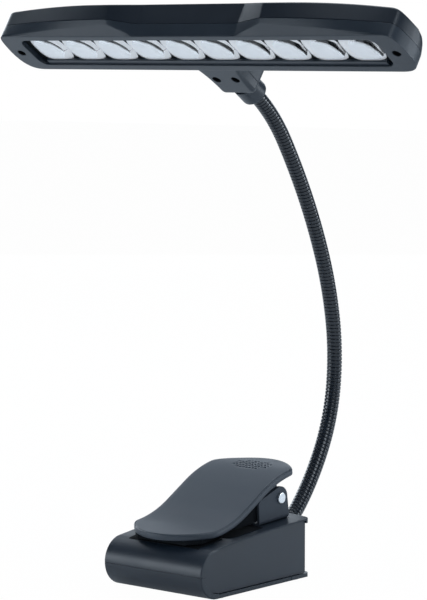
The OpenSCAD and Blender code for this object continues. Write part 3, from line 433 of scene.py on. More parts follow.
def fill(loops, net=()):
    """Triangles in the first loop of flat points, through the net's points, round the other loops.

    Gives the points, the faces, and for each point the numbers of those it comes from.
    """
    edges, first = [], 0
    for loop in loops:
        n = len(loop)
        edges += [(first + k, first + (k + 1) % n) for k in range(n)]
        first += n
    coords = [Vector(p) for loop in loops for p in loop] + list(net)
    points, _, faces, source, _, _ = delaunay_2d_cdt(coords, edges, [], 1, NEAR)

    def solid(f):
        mid = sum((points[k] for k in f), Vector((0, 0))) / len(f)
        return not any(inside(mid, hole) for hole in loops[1:])

    return points, [f for f in faces if solid(f)], source


def circle(r, count):
    """Points of a circle, from its right side round by way of its top."""
    turns = [2 * pi * k / count for k in range(count)]
    return [(r * cos(t), r * sin(t)) for t in turns]


def bands(rows):
    """Faces between rings of as many points each, given as indices."""
    faces = []
    for one, two in zip(rows, rows[1:]):
        n = len(one)
        faces += [(one[k], one[(k + 1) % n], two[(k + 1) % n], two[k]) for k in range(n)]
    return faces


# Flexible neck
def rib_profile(u):
    """Radius over one pitch: a flattened crest and a narrow rounded groove."""
    d = abs(u - 0.5) * 2
    if d < CREST_SHARE:
        return NECK_R - CREST_FALL * (d / CREST_SHARE) ** 4
    g = (d - CREST_SHARE) / GROOVE_SHARE
    depth = sin(g * pi / 2) ** VALLEY_POWER
    return NECK_R - CREST_FALL - (VALLEY - CREST_FALL) * depth


def neck_skin(name, s0, s1):
    """One length of the neck: a strip wound in a helix, so the ribs climb by a pitch a turn."""
    pts, faces, index = [], [], {}

    def vert(m, k):
        """Index of the point on step k of the strip, m sides round from the neck's start."""
        if k == len(RIB_STEPS):
            m, k = m + NECK_SIDES, 0
        if (m, k) not in index:
            y, z, h = neck_at((m / NECK_SIDES + RIB_STEPS[k]) * PITCH)
            h = radians(h)
            turn = 2 * pi * m / NECK_SIDES
            r = rib_profile(RIB_STEPS[k])
            out = r * cos(turn)
            p = base_pt(r * sin(turn), y + out * sin(h), z - out * cos(h))
            p.y = min(p.y, cad_high[1] - BOX_GAP)
            index[(m, k)] = len(pts)
            pts.append(p)
        return index[(m, k)]

    for m in range(round(s0 / PITCH * NECK_SIDES), round(s1 / PITCH * NECK_SIDES)):
        for k in range(len(RIB_STEPS)):
            faces.append((vert(m, k), vert(m + 1, k), vert(m + 1, k + 1), vert(m, k + 1)))
    return new_piece(name, pts, faces, neck_metal, mend=False)


def neck():
    """The neck's skin, a length for each hinge, from the middle of one stiff part to the next."""
    hinges = [STRAIGHT + k * ARC for k in range(1, len(BENDS))]
    cuts = ([STRAIGHT - NECK_LOW_END] + [(p + q) / 2 for p, q in zip(hinges, hinges[1:])]
            + [NECK_LONG - NECK_TOP_END])
    for i, hinge in enumerate(hinges):
        skin = neck_skin("neck_skin_%d" % (i + 1), cuts[i], cuts[i + 1])
        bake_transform(skin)
        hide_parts("neck_segment_%d" % (i + 1))
    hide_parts("neck_segment_%d" % len(BENDS))


# Lever
def lever_half(y):
    """Half width of the lever at the distance y behind the base's middle."""
    half = LEVER_HALF
    front = LEVER_NOSE_Y - y
    if front > 0:
        half = min(half, sqrt(max(0.0, LEVER_NOSE_R ** 2 - front ** 2)))
    back = max(0.0, LEVER_END - y)
    if back < LEVER_TAIL:
        half = min(half, LEVER_HALF * (back / LEVER_TAIL) ** (1 / LEVER_POWER))
    return half


def lever_outline(count=150):
    """The lever's outline laid flat, as evenly spaced points (s, x) with rounded corners."""
    side = []
    for i in range(count + 1):
        s = LEVER_LONG * 0.5 * (1 - cos(pi * i / count))
        half = lever_half(lever_at(s)[0])
        if half > LEVER_MIN:
            side.append((s, half))
    loop = [Vector((s, -w)) for s, w in side] + [Vector((s, w)) for s, w in reversed(side)]
    loop = resample(loop, RIM_STEP)
    for _ in range(RIM_ROUNDS):
        loop = [(loop[i - 1] + loop[i] * 2 + loop[(i + 1) % len(loop)]) / 4
                for i in range(len(loop))]
    return loop


def resample(loop, step):
    out, carry = [], 0.0
    for i, p in enumerate(loop):
        q = loop[(i + 1) % len(loop)]
        l = (q - p).length
        t = carry
        while t < l:
            out.append(p.lerp(q, t / l))
            t += step
        carry = t - l
    return out


def inset(loop, d):
    """The closed loop, anticlockwise, moved inwards by d along its own normals."""
    out = []
    for i, p in enumerate(loop):
        t = (loop[(i + 1) % len(loop)] - loop[i - 1]).normalized()
        out.append(p + Vector((-t.y, t.x)) * d)
    return out


def grip_dents():
    """Middles of the dents on the lever's raised end, as points (s, x)."""
    mid_row, mid_col = DENT_ROWS // 2, DENT_COLS // 2
    out = []
    for row in range(-mid_row, mid_row + 1):
        for col in range(-mid_col, mid_col + 1):
            if (col / DENT_FIELD[0]) ** 2 + (row / DENT_FIELD[1]) ** 2 < 1:
                out.append(Vector((DENTS_AT + row * DENT_ROW, col * DENT_COL + DENT_ASIDE)))
    return out


def lever_net(edge, dents):
    """Points (s, x) and depths that fill a face of the lever inside its edge, round the dents."""
    points = []
    reach = ceil(LEVER_HALF / NET)
    for i in range(ceil(LEVER_LONG / NET)):
        for j in range(-reach, reach):
            p = Vector((i * NET, j * NET))
            half = lever_half(lever_at(p.x)[0])
            if half < NET_LEAST or abs(p.y) > half - NET_SIDE:
                continue
            if p.x < NET_FRONT or p.x > LEVER_LONG - NET_REAR:
                continue
            if any((p - e).length < NET_RIM for e in edge):
                continue
            if any((p - c).length < DENT_R + NET_DENT for c in dents):
                continue
            points.append((p, 0.0))
    for c in dents:
        for r, deep, count in DENT_RINGS:
            points += [(c + Vector(p) * DENT_R * r, DENT_DEEP * deep) for p in circle(1.0, count)]
        points.append((c, DENT_DEEP))
    return points


def lever_line(s, length, steps, deep):
    """Points (y, z) from s along the lever, at one depth under its top."""
    return [under_lever(s + length * k / steps, deep) for k in range(steps + 1)]


def lug_boards(pts, faces):
    """The two lugs under the lever, each a board round the pin that runs up into the lever."""
    low = [(PIN_Y + LUG_R * cos(radians(a)), PIN_Z + LUG_R * sin(radians(a)))
           for a in range(0, -181, -LUG_TURN)]
    front = PIN_Y - LUG_R - LUG_FRONT
    outer = low + [(front, PIN_Z + LUG_R / 2)]
    outer += [p for p in lever_line(*LUG_TOP) if front < p[0] < PIN_Y + LUG_R]
    hole = [(PIN_Y + y, PIN_Z + z) for y, z in circle(LUG_BORE, LUG_SIDES)]
    vs, fs, _ = fill([outer, hole])
    for side in (-1, 1):
        for x in LUG_X:
            first = len(pts)
            pts += [base_pt(side * x, v.x, v.y) for v in vs]
            faces += [tuple(first + k for k in f) for f in fs]
        for loop in (outer, hole):
            rings = []
            for x in LUG_X:
                rings.append(range(len(pts), len(pts) + len(loop)))
                pts += [base_pt(side * x, y, z) for y, z in loop]
            faces += bands(rings)


def lever_piece():
    loop = lever_outline()
    n = len(loop)
    pts, faces, rings = [], [], []
    for d, deep in LEVER_TOP_RIM + LEVER_LOW_RIM:
        rings.append(range(len(pts), len(pts) + n))
        pts += [lever_pt(p.x, p.y, deep) for p in inset(loop, d)]
    faces += bands(rings)
    for (d, face), rim, dents in ((LEVER_TOP_RIM[0], rings[0], grip_dents()),
                                  (LEVER_LOW_RIM[-1], rings[-1], [])):
        edge = inset(loop, d)
        net = lever_net(edge, dents)
        vs, fs, orig = fill([edge], [p for p, _ in net])
        deep = [0.0] * n + [h for _, h in net]
        where = []
        for v, o in zip(vs, orig):
            if o and o[0] < n:
                where.append(rim[o[0]])
            else:
                where.append(len(pts))
                pts.append(lever_pt(v.x, v.y, face + (deep[o[0]] if o else 0.0)))
        faces += [tuple(where[k] for k in f) for f in fs]
    lug_boards(pts, faces)
    new_piece("lever_top", pts, faces, lever_black, "lever", ["lever"])


def coil_spring():
    """The torsion spring: an arm on the bracket, turns round the pin, an arm under the lever."""
    pin = Vector((0.0, PIN_Y, PIN_Z))

    def at(a):
        t = radians(a)
        return Vector((SPRING_WIDE * ((a - SPRING_FIRST) / SPRING_TURN - 0.5),
                       SPRING_R * cos(t), SPRING_R * sin(t)))

    def way(a):
        return Vector((0.0, -sin(radians(a)), cos(radians(a))))

    first, last = SPRING_FIRST, SPRING_FIRST + SPRING_TURN
    line = [at(first) - way(first) * SPRING_ARM * (1 - k / ARM_STEPS) for k in range(ARM_STEPS)]
    line += [at(first + SPRING_TURN * k / SPRING_STEPS) for k in range(SPRING_STEPS + 1)]
    line += [at(last) + way(last) * SPRING_ARM * k / ARM_STEPS for k in range(1, ARM_STEPS + 1)]
    pts, rows = [], []
    end = len(line) - 1
    for i, p in enumerate(line):
        d = (line[min(i + 1, end)] - line[max(i - 1, 0)]).normalized()
        u = d.cross(Vector((1.0, 0.01, 0.0))).normalized()
        v = d.cross(u)
        rings = [(WIRE_R, p)]
        if i in (0, end):
            back = d * (WIRE_CUT if i else -WIRE_CUT)
            rings = [(WIRE_R, p - back), (WIRE_R * 0.9, p - back * 0.3), (WIRE_R * 0.6, p)]
            rings = rings if i else rings[::-1]
        for r, mid in rings:
            rows.append(list(range(len(pts), len(pts) + WIRE_SIDES)))
            for c, s in circle(1.0, WIRE_SIDES):
                pts.append(base_pt(*(pin + mid + (u * c + v * s) * r)))
    faces = bands(rows) + [tuple(reversed(rows[0])), tuple(rows[-1])]
    o = new_piece("coil_spring", pts, faces, spring_steel, angle=60, mend=False)
    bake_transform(o)
    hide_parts("torsion_spring")


neck()
lever_piece()
coil_spring()


# Head
HALF, DEEP, SEAM = 128.5, 31.2, 7.0  # half length, depth of the face, height of the seam
SEAM_GAP = 0.06  # half the gap at the seam
# Along the head: the middle's end, the peak, the end of the brow's climb, the tip, the last fall
MID_A, PEAK_A, WING_A, TIP_A, END_A = 33.0, 50.0, 88.0, 125.0, 121.0
SOFT, WING_SOFT = 0.7, 25.0  # rounding of the bends along the head
# Points (b, n) of the section at the peak, in the middle and at the tip
RIDGE = ((-3.4, 4.6), (0.9, 1.0), (0.4, 1.0))
SEAM_B = ((-4.8,), (-0.4,), (0.4,))
BROW = ((-6.6, 14.8), (-1.1, 18.6), (-2.4, 17.7))
BROW_TWO = (2.6, -2.5)  # how the brow goes on from there to the tip
FACE_B, FACE_FALL = 0.9, 0.5  # the face's front edge, and how far it goes to the tip
ROOF, ROOF_FALL, END_FALL = 19.0, 2.4, 2.6
# Corners (b, drop from the roof, radius, steps) from the brow to the back, and the last's least
ROOF_LINE = ((6.0, 0.2, 3.0, 4), (15.6, 0.0, 3.0, 3), (25.2, 1.2, 3.0, 4), (28.8, 4.0, 2.0, 4),
             (30.6, 9.0, 2.0, 3))
ROOF_LEAST = SEAM + 0.8
SEAM_INSET, SEAM_ROUND = 0.2, (0.3, 2)  # the rear's step in at the seam; radius and steps
# The ends are rounded in plan: length, inner and outer power, at the front and at the back
FRONT_END, BACK_END = (10.5, 8, 0.76), (13.5, 2.9, 1 / 2.9)
END_LEFT = 0.06  # keeps the last section from closing
LOWER_FACE, LOWER_SEAM = 10, 11  # rounded points before and after the rear corner
CREASE = (-1.4, -0.7, -0.35, 0, 0.35, 0.7, 1.4)

WINDOW, WINDOW_R = (115.0, 4.4, 26.6), 5.0  # half length, front, back and corner radius
SHELF = 2.65  # the lens strip's plate lies on this level
WINDOW_EDGE = ((0.4, 0.0), (0.16, 0.08), (0.0, 0.4), (0.0, SHELF))
POCKET_HALF, POCKET_WALL, POCKET_ROOF = 117.6, 2.6, 9.1
ROOF_POCKET_HALF = 117.5
# Screws: places, rings (radius, n) of their wells, and levels of the face, the head and the tip
END_SCREW_A, MID_SCREW_A, MID_SCREW_B = 121.7, 6.15, 41.0
END_WELL = ((2.55, 0.0), (2.35, 0.2), (2.35, 2.4), (1.4, 2.4), (1.4, SEAM - SEAM_GAP))
MID_WELL = ((2.5, 1.1), (2.35, 1.3), (2.35, 3.5))
END_SCREW_N, MID_SCREW_N = (0.22, 2.45, 12.0), (1.32, 3.5, 11.0)
# The sleeves line the screw wells in the screws' near-black finish, as painted shade in the holes.
SHADE_SLEEVE_R, SHADE_SLEEVE_IN, SHANK_R, HEAD_T = 2.33, 2.30, 1.3, 1.0
SCREW_HEAD = ((SHADE_SLEEVE_IN, -0.02), (2.2, 0.04), (1.1, 0.0), (0.9, 0.7), (0.0001, 0.8))
PIN = ((0.0, 2.0), (24.0, 2.0), (24.02, 2.85), (24.9, 2.88), (25.15, 2.78), (25.27, 2.55),
       (25.3, 2.3))  # half of its outline, (x, radius)

# Plan of the bracket behind the head: a flare, a straight taper and a rounded rear corner
BRACKET_B, BRACKET_A = (31.3, 51.2), (14.6, 11.0)
TAPER_B, TAPER_LONG = 31.4, 19.8
FLARE_A, FLARE_B, FLARE_R, FLARE_STEPS = 71.0, 50.2, 60.0, 14
CORNER_A, CORNER_R = 8.0, 3.0
RING_N = 8.0  # the neck's line enters the head at this level
RING_SIDES, PIN_SIDES, OBLONG_STEPS = 64, 40, 8
RING = [  # (b, radius)
    (54.3, 4.2), (54.3, 6.9), (54.4, 7.0), (63.3, 7.0), (63.8, 6.86), (64.2, 6.55),
    (64.42, 6.1), (64.5, 5.6), (64.5, 4.6), (64.2, 4.3), (63.6, 4.2)]

LENS_AT, LENS_B = 22.4, 14.9  # spacing of the lenses, and their middle
LENS_A, LENS_C, LENS_POWER = 11.12, 10.5, 3.2  # half sizes and power of a lens's outline
LENS_MIDS = [(k - 4.5) * LENS_AT for k in range(10)]
LENS_RIM, LENS_DOME, LENS_FALL = 3.0, 2.1, 2.6  # level, height and form of a dome
LENS_SIZES = [1.0, 0.985, 0.96, 0.93, 0.88, 0.8, 0.68, 0.54, 0.4, 0.26, 0.12]
PLATE_HALF, PLATE_WALL, PLATE_TOP = 117.2, 3.0, 3.85
FRAME_N, FRAME_PLAY = (2.68, 2.96), 1.006
LEDGE_A = 110.5
LEDGE = [(26.58, 0.95), (24.2, 0.95), (23.95, 1.02), (23.8, 1.3), (23.8, 2.62), (26.58, 2.62)]


def turn_on(x, w=SOFT):
    """Nought before x = 0 and x after it, with the bend rounded over w to each side."""
    return 0.0 if x <= -w else x if x >= w else (x + w) ** 2 / (4 * w)


def share(a, first, last):
    """From 0 at first to 1 at last, with both bends rounded."""
    return (turn_on(a - first) - turn_on(a - last)) / (last - first)


def lay(places, a, to_tip):
    """A point of the section at a, out of its places at the peak, the middle and the tip."""
    to_mid = 1 - share(a, MID_A, PEAK_A)
    return tuple(p + (q - p) * to_mid + (r - p) * to_tip for p, q, r in zip(*places))


def end_fall(a):
    return END_FALL * max(0.0, (a - END_A) / (HALF - END_A)) ** 2


def kept(a, length, inner, outer):
    """Share of the half depth that is left at a, near the head's end."""
    t = max(0.0, (min(a, HALF - END_LEFT) - HALF + length) / length)
    return (1 - t ** inner) ** outer


def drawn_in(section, a):
    front, back = kept(a, *FRONT_END), kept(a, *BACK_END)
    return [(DEEP / 2 + (b - DEEP / 2) * (front if b < DEEP / 2 else back), n, r, k)
            for b, n, r, k in section]


def lower_section(a):
    """Corners (b, n, radius, steps) of the lower half's section."""
    wing = share(a, PEAK_A, TIP_A)
    ridge = lay(RIDGE, a, wing)
    seam = lay(SEAM_B, a, wing ** 2)[0]
    top = SEAM - SEAM_GAP
    return drawn_in([(FACE_B - FACE_FALL * wing, 0.0, 0.45, 3), (ridge[0], ridge[1], 0.5, 3),
                     (seam, top, *SEAM_ROUND), (DEEP - SEAM_INSET, top, *SEAM_ROUND),
                     (DEEP, 0.0, 0.8, 4)], a)


def upper_section(a):
    """Corners (b, n, radius, steps) of the upper half's section."""
    seam = lay(SEAM_B, a, share(a, PEAK_A, TIP_A) ** 2)[0]
    low = SEAM + SEAM_GAP
    past = turn_on(a - WING_A, WING_SOFT)
    one = (turn_on(a - PEAK_A) - past) / (WING_A - PEAK_A)
    two = past / (HALF - WING_A)
    b, n = lay(BROW, a, one)
    b, n = b + BROW_TWO[0] * two, n + BROW_TWO[1] * two - end_fall(a) / 2
    top = ROOF - ROOF_FALL * (a / HALF) ** 4 - end_fall(a)
    line = [(b, max(top - drop, ROOF_LEAST), r, k) for b, drop, r, k in ROOF_LINE]
    return drawn_in([(seam, low, *SEAM_ROUND), (b, n, 1.1, 4)] + line
                    + [(DEEP - SEAM_INSET, low, *SEAM_ROUND)], a)


def cornered(section):
    """Points of a section whose corners are rounded off, each by its own radius and steps."""
    out = []
    for i, (b, n, r, steps) in enumerate(section):
        p = Vector((b, n))
        u = Vector(section[i - 1][:2]) - p
        v = Vector(section[(i + 1) % len(section)][:2]) - p
        d = min(r, u.length * 0.45, v.length * 0.45)
        p0, p1 = p + u.normalized() * d, p + v.normalized() * d
        for j in range(steps + 1):
            t = j / steps
            out.append(p0 * (1 - t) ** 2 + p * (2 * t * (1 - t)) + p1 * t ** 2)
    return out


def head_stations():
    """Where the head's sections stand: closer at its creases and towards its ends."""
    a = [0, 6, 12, 18, 24, 29] + [MID_A + d for d in CREASE]
    a += [37, 41.5, 46] + [PEAK_A + d for d in CREASE]
    a += [54, 60, 66, 72, 77, 82, 85, 88, 91, 94, 99, 104, 109, 113, 115, 116.5, 118, 119.3,
          120.5, 121.5, 122.5, 123.4, 124.2, 124.6, 125, 125.4, 125.9, 126.5, 127, 127.4, 127.8,
          128.1, 128.3, HALF]
    return [-v for v in reversed(a[1:])] + a


STATIONS = head_stations()


def oblong(half, b0, b1, n, spread=0.0):
    """A rounded oblong of the window's kind, as points (a, b, n), drawn out by spread."""
    half, b0, b1, r = half + spread, b0 - spread, b1 + spread, WINDOW_R + spread
    pts = []
    for ca, cb, first in ((half - r, b1 - r, 0), (r - half, b1 - r, 90), (r - half, b0 + r, 180),
                          (half - r, b0 + r, 270)):
        for k in range(OBLONG_STEPS + 1):
            t = radians(first + 90 * k / OBLONG_STEPS)
            pts.append((ca + r * cos(t), cb + r * sin(t), n))
    return pts


def ring(a, b, r, n, count=24):
    return [(a + x, b + y, n) for x, y in circle(r, count)]


class Solid:
    """Points and faces of one piece, given in the head's own frame or in the base's."""

    def __init__(self, place=head_pt):
        self.pts, self.faces, self.place = [], [], place

    def add(self, loop):
        """Put in the loop's points, and give the loop with their indices."""
        first = len(self.pts)
        self.pts += [self.place(*p) for p in loop]
        return list(range(first, first + len(loop))), loop

    def sweep(self, loops):
        """Walls from each loop to the next. Gives the first and the last loop."""
        added = [self.add(loop) for loop in loops]
        self.faces += bands([ids for ids, _ in added])
        return added[0], added[-1]

    def plate(self, *loops, at=(0, 1)):
        """A flat face between the first loop and the rest, which are holes in it."""
        where = [i for ids, _ in loops for i in ids]
        flat = [[(p[at[0]], p[at[1]]) for p in pts] for _, pts in loops]
        _, fs, orig = fill(flat)
        self.faces += [tuple(where[orig[k][0]] for k in f) for f in fs]

    def slab(self, loops):
        """A prism between two loops that stand across x or a, closed at both ends."""
        for end in self.sweep(loops):
            self.plate(end, at=(1, 2))

    def piece(self, name, material, slot, body, nodes=(), angle=35):
        new_piece(name, self.pts, self.faces, material, body, nodes, angle, weighted=True)


def head_shell(section, open_at=None):
    """The skin of one half of the head, open at its flat faces, with its rows of points."""
    s = Solid()
    rows = [s.add([(a, p.x, p.y) for p in cornered(section(abs(a)))]) for a in STATIONS]
    for (p, _), (q, _) in zip(rows, rows[1:]):
        for k in range(len(p) - 1):
            if k != open_at:
                s.faces.append((p[k], p[k + 1], q[k + 1], q[k]))
    for end in (rows[0], rows[-1]):
        s.plate(end, at=(1, 2))
    return s, rows


def around(rows, one, two):
    """The closed loop along the points of number one and back along those of number two."""
    return tuple([r[part][one] for r in rows] + [r[part][two] for r in reversed(rows)]
                 for part in (0, 1))


def lower_shell():
    s, rows = head_shell(lower_section, LOWER_FACE)
    loops = [oblong(*WINDOW, n, d) for d, n in WINDOW_EDGE]
    loops += [oblong(POCKET_HALF, POCKET_WALL, DEEP - POCKET_WALL, n)
              for n in (SHELF, SEAM - SEAM_GAP)]
    low, top = ([end] for end in s.sweep(loops))
    for side in (-1, 1):
        ends = s.sweep([ring(side * END_SCREW_A, DEEP / 2, r, n) for r, n in END_WELL])
        low.append(ends[0])
        top.append(ends[1])
    s.plate(around(rows, 0, -1), *low)
    s.plate(around(rows, LOWER_FACE, LOWER_SEAM), *top)
    s.piece("head_lower_shell", head_black, "head_black", "head", ["head_housing"])


def upper_shell():
    s, rows = head_shell(upper_section)
    low, top = s.sweep([oblong(ROOF_POCKET_HALF, POCKET_WALL, DEEP - POCKET_WALL, n)
                        for n in (SEAM + SEAM_GAP, POCKET_ROOF)])
    s.plate(top)
    s.plate(around(rows, 0, -1), low)
    # The upper half takes the darker copy of the head's black, as painted shade.
    s.piece("head_upper_shell", head_black_painted_shade, "head_black", "head", ["head_cover"])


# Bracket, ring, screws and pin
def bracket_line(d):
    """Plan of the bracket from one side of the head's back round to the other, drawn in by d."""
    b0, b1 = BRACKET_B
    a0, a1 = BRACKET_A
    side = []
    for k in range(FLARE_STEPS + 1):
        b = b0 + (b1 - b0) * k / FLARE_STEPS
        side.append(Vector((min(FLARE_A - sqrt(FLARE_R ** 2 - (b - FLARE_B) ** 2),
                                a0 + (a1 - a0) * (b - TAPER_B) / TAPER_LONG), b)))
    for v in range(10, 91, 10):
        t = radians(v)
        side.append(Vector((CORNER_A + CORNER_R * cos(t), b1 + CORNER_R * sin(t))))
    line = side + [Vector((-p.x, p.y)) for p in reversed(side)]
    out = inset(line, d)
    for k in (0, -1):
        out[k] = Vector((line[k].x - copysign(d, line[k].x), line[k].y))
    return out


def bracket_shell(name, levels, wells, nodes):
    """One half of the bracket, with its screw wells in the lower one."""
    s = Solid()
    low, top = s.sweep([[(p.x, p.y, n) for p in bracket_line(d)] for d, n in levels])
    holes = []
    for side in wells:
        rim, floor = s.sweep([ring(side * MID_SCREW_A, MID_SCREW_B, r, n) for r, n in MID_WELL])
        s.plate(floor)
        holes.append(rim)
    s.plate(low, *holes)
    s.plate(top)
    s.piece(name, head_black, "head_black", "head", nodes)


def rounding(r, n, way, steps=6):
    """Levels of a rounded edge: from the flat face at n to the upright side."""
    turns = [pi / 2 * k / steps for k in range(steps + 1)]
    return [(r * (1 - sin(t)), n + way * r * (1 - cos(t))) for t in turns]


# Levels of the bracket's two halves, as (inset, n)
BRACKET_LOW = rounding(2.2, 1.1, 1) + [(0.0, 6.8), (0.15, SEAM - SEAM_GAP)]
BRACKET_TOP = [(0.15, SEAM + SEAM_GAP), (0.0, 7.2)] + rounding(1.8, 17.0, -1)[::-1]


def neck_ring():
    """The turned ring about the neck's line where it enters the head."""
    s = Solid()
    s.sweep([[(x, b, RING_N + y) for x, y in circle(r, RING_SIDES)] for b, r in RING + RING[:1]])
    s.piece("neck_ring", head_black, "head_black", "head", ["neck_collar"])


def screw_set(name, a, b, levels, nodes):
    """Screws at the bottom of their wells, which are lined with the same near-black finish:
    painted shade, so the deep wells read black.
    """
    s = Solid()
    face, top, tip = levels
    line = [(SHADE_SLEEVE_IN, face)] + [(r, top + n) for r, n in SCREW_HEAD]
    back = ((SHADE_SLEEVE_R, face), (SHADE_SLEEVE_R, top + HEAD_T), (SHANK_R, top + HEAD_T), (SHANK_R, tip))
    for side in (-1, 1):
        inner, _ = s.sweep([ring(side * a, b, r, n) for r, n in line])
        outer, end = s.sweep([ring(side * a, b, r, n) for r, n in back])
        s.plate(end)
        s.faces += bands([outer[0], inner[0]])
    s.piece(name, screw_steel, "screw_steel", "head", nodes)


def hinge_pin():
    """The pin through the bracket and the lever, with a flat head on each side."""
    s = Solid(base_pt)
    line = [(-x, r) for x, r in reversed(PIN)] + list(PIN[1:])
    s.slab([[(x, PIN_Y + y, PIN_Z + z) for y, z in circle(r, PIN_SIDES)] for x, r in line])
    s.piece("hinge_pin", bright_steel, "bright_steel", "base", ["pivot_pin"])


# Lenses
def lens_ring(mid, size, n, count=72):
    """Outline of one lens, a square with bowed sides, drawn to the given size."""
    return [(mid + LENS_A * size * copysign(abs(c) ** (2 / LENS_POWER), c),
             LENS_B + LENS_C * size * copysign(abs(d) ** (2 / LENS_POWER), d), n)
            for c, d in circle(1.0, count)]


def lens_plate(n):
    return oblong(PLATE_HALF, PLATE_WALL, DEEP - PLATE_WALL, n)


def lens_array():
    """The strip of ten lenses: domes with steep rims on a thin plate."""
    s = Solid()
    rim, top = s.sweep([lens_plate(LENS_RIM), lens_plate(PLATE_TOP)])
    s.plate(top)
    holes = []
    for mid in LENS_MIDS:
        foot, last = s.sweep([lens_ring(mid, t, LENS_RIM - LENS_DOME * (1 - t ** LENS_FALL) ** 0.5)
                              for t in LENS_SIZES])
        peak, last = s.add([(mid, LENS_B, LENS_RIM - LENS_DOME)])[0][0], last[0]
        s.faces += [(last[k], last[(k + 1) % len(last)], peak) for k in range(len(last))]
        holes.append(foot)
    s.plate(rim, *holes)
    s.piece("lens_array", lens_clear, "lens_clear", "head", ["lens_strip"], angle=50)


def lens_frame():
    """The dark frame that the lenses stand through."""
    s = Solid()
    sheets = []
    for n in FRAME_N:
        loops = [s.add(lens_plate(n))]
        loops += [s.add(lens_ring(mid, FRAME_PLAY, n)) for mid in LENS_MIDS]
        s.plate(*loops)
        sheets.append(loops)
    for (p, _), (q, _) in zip(*sheets):
        s.faces += bands([p, q])
    s.piece("lens_frame", rubber, "rubber", "head")


def lens_ledge():
    """The ledge along the rear edge of the window, over the lenses' rims."""
    s = Solid()
    s.slab([[(a, b, n) for b, n in LEDGE] for a in (-LEDGE_A, LEDGE_A)])
    s.piece("lens_ledge", head_black, "head_black", "head")


# Under the lever
# The cheeks under the lever are in near-black rubber, as painted shade in the gap between the
# lever and the base.
CHEEK_X = (21.5, 21.95)
CHEEK_TOP = (34.5, 32.0, 24, 2.6)  # as LUG_TOP
CHEEK_LOW = [(24.0, 35.2), (20.5, 33.0), (19.0, 32.4), (12.0, 31.9), (9.8, 31.2), (4.0, 30.6),
             (-7.0, 30.1), (-9.0, 30.6)]
# The thin black sheet on the base's top under the lever is painted shade.
SHADE_OFF_PAD, SHADE_OFF_BRACKET = 0.2, 0.1  # gaps at its ends
SHADE_UNDER, SHADE_OVER = -0.3, 0.15  # its levels against the base's top
SHADE_ABOVE = 60.0  # the base's top is looked for from here
SHADE_NARROW, SHADE_WIDER, SHADE_ROUND = 17.0, 10.0, 7.0  # half width in front, its growth, and where
SHADE_COLS, SHADE_ROWS = 20, 8


def lever_cheeks():
    """The dark side walls that run forward from the lugs under the lever, down to the base; their
    near-black rubber finish is painted shade in the gap under the lever.
    """
    s = Solid(base_pt)
    line = CHEEK_LOW + lever_line(*CHEEK_TOP)
    for side in (-1, 1):
        s.slab([[(side * x, y, z) for y, z in line] for x in CHEEK_X])
    s.piece("lever_cheeks", rubber, "rubber", "lever")


def deck_mat():
    """A thin black sheet on the base's top, between the pad under the lever and the bracket:
    painted shade where the lever's shadow falls.
    """
    def ys(name):
        return [v.co.y / MM - BASE_SHIFT for v in bpy.data.objects[name].data.vertices]

    first, last = max(ys("base_pad")) + SHADE_OFF_PAD, min(ys("clip_bracket")) - SHADE_OFF_BRACKET
    shell = bpy.data.objects["base_shell"].data
    top = BVHTree.FromPolygons([v.co for v in shell.vertices],
                               [tuple(f.vertices) for f in shell.polygons])
    s = Solid(base_pt)
    grids = []
    for lift in (SHADE_UNDER, SHADE_OVER):
        rows = []
        for j in range(SHADE_ROWS + 1):
            y = first + (last - first) * j / SHADE_ROWS
            t = max(0.0, 1.0 - (y - first) / SHADE_ROUND)
            half = SHADE_NARROW + SHADE_WIDER * sqrt(1.0 - t * t)
            row = []
            for i in range(SHADE_COLS + 1):
                x = half * (2.0 * i / SHADE_COLS - 1.0)
                hit = top.ray_cast(base_pt(x, y, SHADE_ABOVE), Vector((0, 0, -1)))[0]
                row.append((x, y, hit.z / MM - FOOT_H + lift))
            rows.append(s.add(row)[0])
        grids.append(rows)
    low, high = grids
    strips = [pair for rows in grids for pair in zip(rows, rows[1:])]
    strips += [(low[0], high[0]), (low[-1], high[-1]), ([r[0] for r in low], [r[0] for r in high]),
               ([r[-1] for r in low], [r[-1] for r in high])]
    for p, q in strips:
        s.faces += [(p[k], p[k + 1], q[k + 1], q[k]) for k in range(len(p) - 1)]
    s.piece("deck_mat", rubber, "rubber", "base")


lower_shell()
upper_shell()
hinge_pin()
lens_array()
lens_frame()
lens_ledge()
lever_cheeks()
deck_mat()
bracket_shell("neck_bracket_shell", BRACKET_LOW, (-1, 1), ["head_bracket_cover"])
bracket_shell("neck_bracket_top", BRACKET_TOP, (), ["head_cover"])
neck_ring()
screw_set("head_screw_set", END_SCREW_A, DEEP / 2, END_SCREW_N, ["head_screws"])
screw_set("bracket_screw_set", MID_SCREW_A, MID_SCREW_B, MID_SCREW_N, ["bracket_screws"])

# Softened mouldings
soften("base_shell", "base_upper_shell", EDGE, "base", shell_black)
soften("battery_door", "base_lower_shell", THIN_EDGE, "door", shell_black, True)
soften("rear_plate", "base_rear_plate", EDGE, "base", shell_black)
soften("clip_bracket", "sheet_bracket", THIN_EDGE, "base", bracket_paint)


# Stage, light and camera
COOL = (0.82, 0.91, 1.0)
